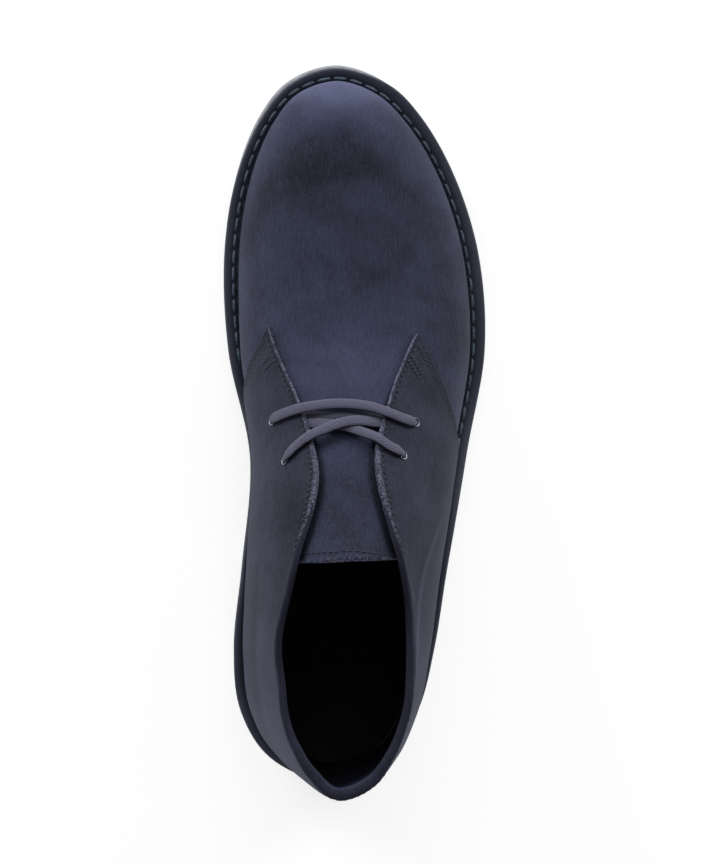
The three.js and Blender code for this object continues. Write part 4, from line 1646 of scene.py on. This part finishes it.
@dataclass
class UpperUnit:
    """Vamp with its tongue, both quarters, lining, collar roll and seams."""

    last: Last
    nap: NapAndPaintedLight = field(default_factory=NapAndPaintedLight)
    tongue_top: float = 0.658
    tongue_drop: float = 2.2
    tongue_level: float = 0.0085
    tongue_high: float = 0.87
    tongue_tuck: float = 0.10
    level_from: float = 0.52
    sink_from: float = 0.455
    sink_reach: float = 0.075
    narrow_medial: float = 0.510
    narrow_lateral: float = 0.560
    sheet: float = 1.8
    quarter: float = 1.65
    quarter_gap: float = 0.06
    quarter_end: float = 0.9996
    lining: float = 1.8
    wing_rows: Tuple[float, ...] = (1.5, 3.9)
    wing_feet: Tuple[float, float] = (0.540, 0.496)
    roll_outer: float = 0.8
    roll_inner: float = 0.2
    turn_depth: float = 0.6
    seam_width: float = 0.55
    seam_depth: float = 0.22
    seam_sunk: float = 0.16
    seam_points: int = 900
    ridge_height: float = 0.5
    tip_radius: float = 1.7
    tip_cut_back: float = 1.15
    collar_start: float = 0.600
    side_length: float = 350.0
    back_length: float = 370.0
    girth: float = 85.0
    front_span: float = 0.6

    def _bow(self, across: Array) -> Array:
        """Part of the tongue's levelling: most at its middle line, below zero at its sides."""
        return 1.0 - np.hypot(across, 0.14) / 0.7

    def _tucked(self, facing: Array) -> Array:
        """Height share of the tongue's side edge, held under the facing."""
        return np.minimum(facing, self.tongue_high) - self.tongue_tuck

    def _vamp(self, finishes: Finishes) -> None:
        """One sheet from feather edge to feather edge, running back into the tongue.

        Each row crosses the boot. In front it reaches both feather edges; behind the
        throat it narrows to the tongue, which lies under the facings.

        Args:
            finishes: Finishes of all pieces.
        """
        row_at = np.concatenate([
            np.linspace(0.0, 0.36, 84), np.linspace(0.36, self.tongue_top, 92)[1:]])
        across = np.linspace(-1.0, 1.0, 141)
        grid_at, grid_s = np.meshgrid(row_at, across, indexing="ij")
        inner_side, share = grid_s < 0, np.abs(grid_s)
        level = ease((grid_at - self.level_from) / (self.tongue_top - self.level_from))
        place = grid_at - self.tongue_level * level * self._bow(share)
        u = np.where(inner_side, -place, place)
        wing, facing = Last.edge(WING, u), Last.edge(FACING, u)
        narrow = np.where(inner_side, self.narrow_medial, self.narrow_lateral)
        low = self._tucked(facing) * after(place, narrow, 0.06)
        v = 1.0 - share * (1.0 - low)
        under = ease((v - wing) / np.maximum(0.6 * (facing - wing), 0.02))
        depth = -self.tongue_drop * after(place, self.sink_from, self.sink_reach) * under
        outer = self.last.off(u, v, depth)
        inner = self.last.off(u, v, depth - self.sheet)
        tip = np.where(inner_side, FACING[Side.MEDIAL].at[0], FACING[Side.LATERAL].at[0])
        outside = np.maximum(wing - v, v - facing) * self.girth * self.front_span
        # Painted light and shade from the nap map, and a painted shadow beside the quarters' edges.
        tone = self.nap.vamp(outer) + self.nap.painted_edge_shadow(after(place, tip, 0.01), outside)
        back = (self.tongue_top - grid_at) * self.side_length
        face = Patch.grid(outer, flip=True, tone=tone, cut=0.22 * before(back, 1.6, 1.2))
        underside = Patch.grid(inner, tone=tone - 0.2)
        loop_outer = np.concatenate([outer[:, 0], outer[-1], outer[::-1, -1]])
        loop_inner = np.concatenate([inner[:, 0], inner[-1], inner[::-1, -1]])
        middle = (loop_outer + loop_inner) / 2
        rim = Patch.grid(np.stack([loop_outer, middle, loop_inner], axis=1),
                         cut=np.ones((len(middle), 3)))
        patch = face.joined(underside, rim)
        build_object("vamp_and_tongue", patch, finishes.vamp,
                     replaces=("tongue", "upper"), merge=0.01)

    def _tip_rounding(self, side: Side, at: Array) -> Array:
        """Share of its full width that a quarter keeps near its rounded point.

        The point is a wedge. A circle of the tip's radius lies in it, touching both edges:
        with a half angle a, its middle is radius / sin a from the wedge's apex.

        Args:
            side: Side of the boot.
            at: Share of the side's length.

        Returns:
            The share at each place.
        """
        apex = FACING[side].at[0]

        def half(place: Array) -> Array:
            """Half width of the wedge, in millimetres."""
            u = place * side.value
            return (Last.edge(FACING, u) - Last.edge(WING, u)) * self.girth / 2

        x = np.maximum((at - apex) * self.side_length, 1e-3)
        slope = half(np.array([apex + 0.012]))[0] / (0.012 * self.side_length)
        sine = slope / math.hypot(1.0, slope)
        middle = self.tip_radius / sine
        circle = np.sqrt(np.clip(self.tip_radius**2 - (middle - x) ** 2, 0, None))
        touching = middle - self.tip_radius * sine
        return np.where(x < touching, circle / np.maximum(half(at), 1e-4), 1.0)

    def _quarter(self, side: Side, finishes: Finishes) -> None:
        """A quarter: rounded point in front, cut edges, pressed in along its stitching, with
        painted shade in the pressed lines, on the turned strip and along the wing edge.

        Args:
            side: Side of the boot.
            finishes: Finishes of all pieces.
        """
        tip = FACING[side].at[0] + self.tip_cut_back / self.side_length
        at = mix(tip, self.quarter_end, np.linspace(0.0, 1.0, 210) ** 1.35)
        u = at * side.value
        high, low = Last.edge(FACING, u), Last.edge(WING, u)
        middle, half = (high + low) / 2, (high - low) / 2 * self._tip_rounding(side, at)
        up = crowded(64)
        v = (middle - half)[:, None] + (2 * half)[:, None] * up
        uu, places = (np.broadcast_to(part[:, None], v.shape) for part in (u, at))
        width = (2 * half)[:, None] * self.girth
        from_wing, from_facing = up * width, (1.0 - up) * width
        near = np.minimum(from_wing, from_facing)
        edge = self.quarter / 2
        roll = edge * (1.0 - np.sqrt(1.0 - (1.0 - np.clip(near / edge, 0, 1)) ** 2))
        seam = self._seam_inset(at)[:, None]
        pressed = bell(from_facing - seam, self.seam_width) * before(at, 0.68, 0.03)[:, None]
        strip = np.clip(1.0 - from_facing / np.maximum(seam, 0.5), 0, 1) ** 2
        turned = strip * after(at, 0.575, 0.06)[:, None]
        at_wing = (v < 0.72) & (at < 0.56)[:, None]
        for inset in self.wing_rows:
            pressed = np.maximum(pressed, bell(from_wing - inset, self.seam_width) * at_wing)
        base, (_, normal) = self.last.point(uu, v), self.last.frame(uu, v)
        top = base + normal * (self.quarter_gap + self.quarter - self.roll_outer * roll
                               - self.seam_depth * pressed - self.turn_depth * turned
                               + self.ridge_height * ridges(side, places, v))[..., None]
        bottom = base + normal * (self.quarter_gap + self.roll_inner * roll)[..., None]
        reach = mix(0.5, 2.4, after(at, 0.47, 0.08))[:, None]
        strength = mix(0.85, 0.6, after(at, 0.47, 0.08)) * before(at, 0.69, 0.09)
        facing_cut = strength[:, None] * np.exp(-(from_facing / reach) ** 4)
        # shaded_lip sets a painted shadow along the wing edge; raw_wing sets its lighter cut edge.
        raw_wing, shaded_lip = (0.45, 0.04) if side is Side.MEDIAL else (0.12, 0.12)
        wing_cut = raw_wing * bell(from_wing, 0.4)
        # Painted shadow along the wing edge.
        lip = shaded_lip * bell(from_wing, 0.8) * at_wing
        tone = self.nap.quarter(side, places, v, top) - lip
        # Painted shade in the pressed stitch lines and on the turned-in strip, on top of their
        # dents.
        tone = tone + self.nap.pressed * pressed + self.nap.turned * turned
        patch = slab(top, bottom, cut=np.maximum(facing_cut, wing_cut * at_wing), tone=tone)
        node = "quarter_lateral" if side is Side.LATERAL else "quarter_medial"
        build_object(f"{node}_suede", patch, finishes.quarter,
                     replaces=(node,), merge=0.01)

    def _lining(self, finishes: Finishes) -> None:
        """Black lining of the quarters: a shell inside them, open at the throat.

        It is padded behind the heel, level with the inside of the collar's roll. Behind the
        throat its upper edge is painted lighter in its second colour, a painted light that fades
        with depth, most of all at the heel.

        Args:
            finishes: Finishes of all pieces.
        """
        at = np.linspace(0.50, 1.0, 161)
        u = np.concatenate([at, -at[-2::-1]])
        share = np.abs(u)[:, None]
        recess = mix(0.030, 0.006, after(np.abs(u), 0.60, 0.06))
        edge = (Last.edge(FACING, u) - recess)[:, None]
        v = edge * (1.0 - (1.0 - np.linspace(0.0, 1.0, 41)) ** 1.4)
        uu = np.broadcast_to(u[:, None], v.shape)
        outer = self.last.off(uu, v, -0.08)
        padding = follow((0.50, 0.86, 0.97, 1.0), (0.0, 0.0, 1.1, 1.2), np.abs(uu))
        inner = self.last.off(uu, v, -self.lining - padding)
        deep = (edge - v) * self.girth
        strength = mix(0.45, 1.0, after(share, 0.86, 0.12)) * after(share, 0.60, 0.10)
        # Painted light near the lining's edge, fading with depth into the opening.
        dyed = strength * np.clip(1.0 - deep / 40.0, 0.0, 1.0) ** 1.4
        build_object("quarter_lining", slab(outer, inner, dyed=dyed), finishes.lining,
                     merge=0.01)

    def _collar_roll(self, finishes: Finishes) -> None:
        """Turned collar edge: a soft roll over the wall, fuller at the back.

        Args:
            finishes: Finishes of all pieces.
        """
        at = np.linspace(self.collar_start, 1.0, 220)
        u = np.concatenate([at, -at[-2::-1]])
        v = Last.edge(FACING, u)
        up, normal = self.last.frame(u, v)
        share = np.abs(u)
        begun = after(share, self.collar_start, 0.07)
        stations = (0.60, 0.66, 0.70, 0.76, 0.88, 1.0)
        outer = follow(stations, (1.7, 2.5, 3.0, 3.3, 3.6, 4.7), share)
        inner = follow(stations, (1.7, 2.3, 2.2, 2.9, 3.1, 4.7), share)
        width = np.where(u > 0, outer, inner)
        tall = mix(1.0, 2.8, begun)
        outer_face = self.quarter + self.quarter_gap + mix(-0.25, 0.06, begun)
        centre = (self.last.point(u, v) + normal * (outer_face - width / 2)[:, None]
                  - up * mix(0.55, 0.25, begun)[:, None])
        c, s = np.cos(turns(24)), np.sin(turns(24))
        x = np.sign(c) * np.abs(c) ** 0.8
        y = np.sign(s) * np.abs(s) ** 0.9
        rings = (centre[:, None] + normal[:, None] * (x * width[:, None] / 2)[..., None]
                 + up[:, None] * (y * tall[:, None] / 2)[..., None])
        # Painted highlight on the roll's top and inner side, painted shade on its outer side.
        tone = np.broadcast_to(0.03 * s - 0.05 * c, rings.shape[:2])
        build_object("collar_roll", tube(rings, tone=tone), finishes.collar_painted_shade,
                     merge=0.01)

    @staticmethod
    def _seam_inset(at: Array) -> Array:
        """Distance of the facing's stitches from its edge: wider round the throat."""
        return follow((0.38, 0.50, 0.57, 0.60, 0.63, 0.665, 1.0),
                      (2.1, 2.2, 3.2, 3.2, 2.4, 0.8, 0.6), at)

    def _edge_path(self, side: Side, tables: Dict[Side, EdgeTable], start: float, end: float,
                   inset: Curve, lift: float) -> Tuple[Array, Array]:
        """A line at a set distance inside an edge.

        Args:
            side: Side of the boot.
            tables: The edge's tables.
            start: First station.
            end: Last station.
            inset: Distance inside the edge at each station, positive toward lower shares.
            lift: Height over the last.

        Returns:
            Points and normals.
        """
        u = np.linspace(start, end, self.seam_points) * side.value
        v = Last.edge(tables, u)
        line = self.last.off(u, v, lift)
        _, normal = self.last.frame(u, v)
        along = unit(np.gradient(line, axis=0))
        inward = unit(np.cross(normal, along)) * side.value
        return line + inward * inset(np.abs(u))[:, None], normal

    def _seams(self, finishes: Finishes) -> None:
        """Every fine seam: facings, wings, tacks, tongue top and back.

        Args:
            finishes: Finishes of all pieces.
        """
        lift = self.quarter + self.quarter_gap - self.seam_sunk
        fine = StitchRow(2.6, 1.7, 0.75, 0.4)
        parts: List[Patch] = []
        for side, foot in zip(Side, self.wing_feet):
            tip = FACING[side].at[0]
            lines = [(FACING, tip + 0.012, 0.995, self._seam_inset)]
            lines += [(WING, tip + 0.014, foot, held(-inset)) for inset in self.wing_rows]
            for tables, start, end, inset in lines:
                parts.append(fine.lay(*self._edge_path(side, tables, start, end, inset, lift)))
            parts.append(self._tack(side, lift))
        parts.append(self._tongue_seam())
        parts.extend(self._back_seam(lift))
        patch = parts[0].joined(*parts[1:])
        build_object("fine_seams", patch, finishes.thread, recalculate=False)

    def _tack(self, side: Side, lift: float) -> Patch:
        """Two short slanted rows of stitches across the quarter's point.

        Args:
            side: Side of the boot.
            lift: Height over the last.

        Returns:
            Both rows.
        """
        runs = {
            Side.LATERAL: (((0.434, 0.716), (0.458, 0.649)), ((0.429, 0.700), (0.453, 0.633))),
            Side.MEDIAL: (((0.431, 0.588), (0.444, 0.498)), ((0.425, 0.560), (0.436, 0.483))),
        }
        row = StitchRow(1.5, 1.35, 1.15, 0.7)
        patches = []
        for start, end in runs[side]:
            u = np.linspace(start[0], end[0], 80) * side.value
            v = np.linspace(start[1], end[1], 80)
            _, normal = self.last.frame(u, v)
            patches.append(row.lay(self.last.off(u, v, lift), normal))
        return patches[0].joined(patches[1])

    def _tongue_seam(self) -> Patch:
        """Row of stitches across the tongue, just under its top edge.

        Returns:
            The row.
        """
        across = np.linspace(-0.78, 0.78, 300)
        inset = mix(3.6, 2.0, (across + 0.7) / 1.4)
        at = self.tongue_top - inset / self.side_length
        at = at - self.tongue_level * self._bow(across)
        u = np.where(across < 0, -at, at)
        v = 1.0 - np.abs(across) * (1.0 - self._tucked(Last.edge(FACING, u)))
        _, normal = self.last.frame(u, v)
        path = self.last.off(u, v, -self.tongue_drop + 0.05)
        return StitchRow(2.6, 1.7, 0.7, 0.45).lay(path, normal)

    def _back_seam(self, lift: float) -> List[Patch]:
        """Two rows of stitches, one on each side of the seam at the heel.

        Args:
            lift: Height over the last.

        Returns:
            Both rows.
        """
        rows = []
        for side in Side:
            v = np.linspace(0.03, 0.44, 300)
            u = np.full_like(v, (1.0 - 2.4 / self.back_length) * side.value)
            _, normal = self.last.frame(u, v)
            rows.append(StitchRow(2.9, 2.0, 0.6, 0.4).lay(self.last.off(u, v, lift), normal))
        return rows

    def build(self, finishes: Finishes) -> None:
        """Builds every piece of the upper.

        Args:
            finishes: Finishes of all pieces.
        """
        self._vamp(finishes)
        for side in Side:
            self._quarter(side, finishes)
        self._lining(finishes)
        self._collar_roll(finishes)
        self._seams(finishes)


# --------------------------------------------------------------------------- eyelets and lace


@dataclass(frozen=True)
class EyeletPlace:
    """Where an eyelet sits on the last."""

    node: str
    u: float
    up: float


@dataclass(frozen=True)
class LaceRun:
    """One run of the lace: walk, height share and lift of each knot."""

    name: str
    knots: Tuple[Tuple[float, float, float], ...]
    nodes: Tuple[str, ...] = ()
    # Extra tone of the run; below zero it is painted shade.
    shade: float = 0.0


LACE_RUNS: Tuple[LaceRun, ...] = (
    LaceRun("lace_bar_woven", (
        (-0.504, 0.534, 1.2), (-0.5025, 0.556, 2.9), (-0.496, 0.660, 3.0),
        (-0.491, 0.778, 2.9), (-0.487, 0.942, 1.9), (0.490, 0.921, 2.0),
        (0.498, 0.824, 2.9), (0.505, 0.745, 2.95), (0.509, 0.680, 2.8),
        (0.509, 0.655, 1.2),
    ), nodes=("lace_bar",)),
    LaceRun("lace_run_over", (
        (0.505, 0.800, -1.0), (0.507, 0.868, 0.3), (0.506, 0.963, 1.3),
        (-0.509, 0.960, 1.7), (-0.516, 0.874, 2.4), (-0.524, 0.790, 3.0),
        (-0.534, 0.712, 3.0), (-0.5455, 0.645, 2.9), (-0.549, 0.620, 1.2),
    ), nodes=("lace_crossing",)),
    LaceRun("lace_run_under", (
        (-0.504, 0.730, -1.0), (-0.506, 0.800, -0.4), (-0.508, 0.888, 0.0),
        (-0.511, 0.985, 0.1), (0.518, 0.942, 0.9), (0.527, 0.871, 2.7),
        (0.537, 0.806, 3.0), (0.5435, 0.745, 2.85), (0.546, 0.722, 1.2),
    )),
    # The lowest run lies under the others and carries painted shade.
    LaceRun("lace_run_lower", (
        (-0.497, 0.700, -1.6), (-0.498, 0.800, -1.1), (-0.499, 0.930, -0.7),
        (0.502, 0.930, -0.7), (0.502, 0.850, -1.0), (0.504, 0.760, -1.6),
    ), shade=-0.3),
)


@dataclass
class Fastening:
    """Four eyelets and the flat lace through them."""

    last: Last
    lift: float = 1.75
    bore: float = 1.35
    flange: float = 2.15
    proud: float = 0.05
    round_height: float = 0.45
    sunk: float = 0.3
    plug_wider: float = 0.1
    plug_depth: float = 0.9
    lace_width: float = 4.5
    lace_thick: float = 1.8
    lace_power: float = 2.3
    lace_sides: int = 28
    lace_sections: int = 160
    pinch: float = 0.52
    pinch_length: float = 5.0
    places: Tuple[EyeletPlace, ...] = (
        EyeletPlace("eyelet_medial_front", -0.504, 0.534),
        EyeletPlace("eyelet_medial_rear", -0.549, 0.620),
        EyeletPlace("eyelet_lateral_front", 0.509, 0.655),
        EyeletPlace("eyelet_lateral_rear", 0.546, 0.722),
    )

    def _seat(self, place: EyeletPlace, sides: int) -> Tuple[Array, Array, Array]:
        """Middle, normal, and directions around them, of an eyelet's seat on the last.

        Args:
            place: The eyelet.
            sides: Number of directions.

        Returns:
            Middle, normal and directions.
        """
        u, v = np.array([place.u]), np.array([place.up])
        up, normal = self.last.frame(u, v)
        side = np.cross(up[0], normal[0])
        turn = turns(sides)
        ring = np.cos(turn)[:, None] * side + np.sin(turn)[:, None] * up[0]
        return self.last.point(u, v)[0], normal[0], ring

    def _eyelet(self, place: EyeletPlace, finishes: Finishes) -> None:
        """A rolled metal ring: a half-round profile turned about the eyelet's axis.

        Args:
            place: The eyelet.
            finishes: Finishes of all pieces.
        """
        arc = turns(16)
        middle = (self.bore + self.flange) / 2
        radius = middle + (self.flange - self.bore) / 2 * np.cos(arc)
        high = self.lift + self.proud + self.round_height * np.sin(arc)
        high = np.where(np.sin(arc) < -0.3, self.lift - self.sunk, high)
        centre, normal, ring = self._seat(place, 40)
        points = centre + ring[:, None] * radius[None, :, None] + normal * high[None, :, None]
        # Brighter metal along the top of the rim: a painted glint.
        rub = np.broadcast_to(after(np.sin(arc), 0.2, 0.8), points.shape[:2])
        patch = Patch.grid(points, wrap_columns=True, wrap_rows=True, rub=rub)
        build_object(f"{place.node}_ring", patch, finishes.metal,
                     replaces=(place.node,))

    def _painted_shade_plug(self, place: EyeletPlace, finishes: Finishes) -> None:
        """Dark plug in the eyelet's bore, where the lace goes down: painted shade in the hole.

        Args:
            place: The eyelet.
            finishes: Finishes of all pieces.
        """
        centre, normal, ring = self._seat(place, 24)
        wide = self.bore + self.plug_wider
        top, bottom = self.lift + self.proud, self.lift - self.plug_depth
        levels = [(0.0, top), (wide, top), (wide, bottom), (0.0, bottom)]
        rows = [centre + ring * radius + normal * high for radius, high in levels]
        patch = Patch.grid(np.stack(rows, axis=1), wrap_columns=True)
        # Painted shade: the plug is darkened further.
        patch.values["tone"] = np.full(len(patch.points), -0.3)
        build_object(f"{place.node}_bore", patch, finishes.lining, merge=0.01)

    def _lace(self, run: LaceRun, finishes: Finishes) -> None:
        """One run: a flat woven section along a smooth line over the last.

        It narrows and thickens toward both ends. Its lower face carries painted shade.

        Args:
            run: The run.
            finishes: Finishes of all pieces.
        """
        u, v, lift = (np.array(column) for column in zip(*run.knots))
        points = self.last.off(u, v, lift)
        _, normals = self.last.frame(u, v)
        walk = np.concatenate([[0], np.cumsum(np.linalg.norm(np.diff(points, axis=0), axis=1))])
        place = np.linspace(0, walk[-1], self.lace_sections)

        def smooth(knots: Array) -> Array:
            """A smooth line through knots, read along the run."""
            return np.stack([follow(walk, knots[:, k], place, free=True) for k in range(3)], axis=1)

        section = oval(self.lace_width, self.lace_thick, self.lace_sides, self.lace_power)
        ends = np.minimum(place, walk[-1] - place)
        pinch = mix(self.pinch, 1.0, ease(ends / self.pinch_length))
        profile = section * np.stack([pinch, 1.0 / pinch**0.6], axis=1)[:, None]
        size = (self.lace_sections, self.lace_sides)
        # Painted shade on the lace's lower face.
        low = before(section[:, 1] / self.lace_thick, 0.34, 0.3)
        patch = sweep(smooth(points), unit(smooth(normals)), profile,
                      along=np.broadcast_to(place[:, None], size),
                      around=np.broadcast_to(section[:, 0], size),
                      tone=np.broadcast_to(0.12 - 0.50 * low + run.shade, size))
        build_object(run.name, patch, finishes.lace, replaces=run.nodes,
                     merge=0.01)

    def build(self, finishes: Finishes) -> None:
        """Builds the eyelets and every visible run of the lace.

        Args:
            finishes: Finishes of all pieces.
        """
        for place in self.places:
            self._eyelet(place, finishes)
            self._painted_shade_plug(place, finishes)
        for run in LACE_RUNS:
            self._lace(run, finishes)


# --------------------------------------------------------------------------- studio


@dataclass(frozen=True)
class SoftLight:
    """A large area light aimed at a point, in metres and watts."""

    name: str
    place: Tuple[float, float, float]
    target: Tuple[float, float, float]
    size: float
    power: float

    def build(self) -> None:
        """Adds the light to the scene."""
        data = bpy.data.lights.new(self.name, "AREA")
        data.shape = "DISK"
        data.size = self.size
        data.energy = self.power
        lamp = bpy.data.objects.new(self.name, data)
        lamp.location = self.place
        aim = Vector(self.target) - Vector(self.place)
        lamp.rotation_euler = aim.to_track_quat("-Z", "Y").to_euler()
        bpy.context.scene.collection.objects.link(lamp)


LIGHTS: Tuple[SoftLight, ...] = (
    SoftLight("inner_toe_light", (-1.2, 1.3, 0.5), (0, 0, 0.05), 1.1, 26.0),
    SoftLight("outer_toe_light", (1.2, 1.3, 0.5), (0, 0, 0.05), 1.1, 24.0),
    SoftLight("high_toe_light", (0.0, 1.1, 1.3), (0, 0, 0.05), 0.9, 3.5),
    SoftLight("heel_light", (0.0, -1.75, 0.6), (0, 0, 0.05), 1.1, 7.5),
)


@dataclass
class Studio:
    """Pale floor, soft lights and the camera, which looks down on the boot."""

    camera_place: Tuple[float, float, float] = (-0.0739, 0.0095, 1.2)
    camera_target: Tuple[float, float, float] = (0.0, -0.004, 0.045)
    lens: float = 117.0
    sky: float = 0.14
    table_glow: float = 0.69
    floor_half: float = 6.0

    def build(self) -> None:
        """Builds the floor, the lights, the sky and the camera."""
        self._floor()
        self._sky()
        for light in LIGHTS:
            light.build()
        self._camera()

    def _floor(self) -> None:
        """A wide, plain, pale floor."""
        mesh = bpy.data.meshes.new("floor")
        half = self.floor_half
        corners = [(-half, -half, 0), (half, -half, 0), (half, half, 0), (-half, half, 0)]
        mesh.from_pydata(corners, [], [(0, 1, 2, 3)])
        material, n, shader = new_material("floor_paint")
        n.fill(shader, {"Base Color": (0.65, 0.65, 0.65, 1), "Roughness": 0.9,
                        "Specular IOR Level": 0.1, "Emission Color": (1, 1, 1, 1),
                        "Emission Strength": self.table_glow})
        mesh.materials.append(material)
        floor = bpy.data.objects.new("floor", mesh)
        bpy.context.scene.collection.objects.link(floor)

    def _sky(self) -> None:
        """Even white surroundings."""
        world = bpy.data.worlds.new("studio")
        world.use_nodes = True
        back = world.node_tree.nodes["Background"]
        back.inputs["Color"].default_value = (1, 1, 1, 1)
        back.inputs["Strength"].default_value = self.sky
        bpy.context.scene.world = world
        bpy.context.scene.view_settings.view_transform = "Standard"

    def _camera(self) -> None:
        """The camera above the boot, toe up in the frame."""
        data = bpy.data.cameras.new("camera")
        data.sensor_width = 36.0
        data.lens = self.lens
        data.clip_start, data.clip_end = 0.05, 20.0
        camera = bpy.data.objects.new("camera", data)
        back = Vector(self.camera_place) - Vector(self.camera_target)
        z = back.normalized()
        x = Vector((0, 1, 0)).cross(z).normalized()
        y = z.cross(x)
        matrix = camera.matrix_world.copy()
        for k, axis in enumerate((x, y, z)):
            for row in range(3):
                matrix[row][k] = axis[row]
        matrix.translation = Vector(self.camera_place)
        camera.matrix_world = matrix
        bpy.context.scene.collection.objects.link(camera)
        bpy.context.scene.camera = camera


def main() -> None:
    logging.basicConfig(level=logging.INFO, format="%(name)s %(message)s")
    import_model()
    sole = Sole()
    last = Last(sole)
    finishes = Finishes.make()
    BottomUnit(sole, last).build(finishes)
    UpperUnit(last).build(finishes)
    Fastening(last).build(finishes)
    Studio().build()
    bpy.context.view_layer.update()


if __name__ == "__main__":
    main()
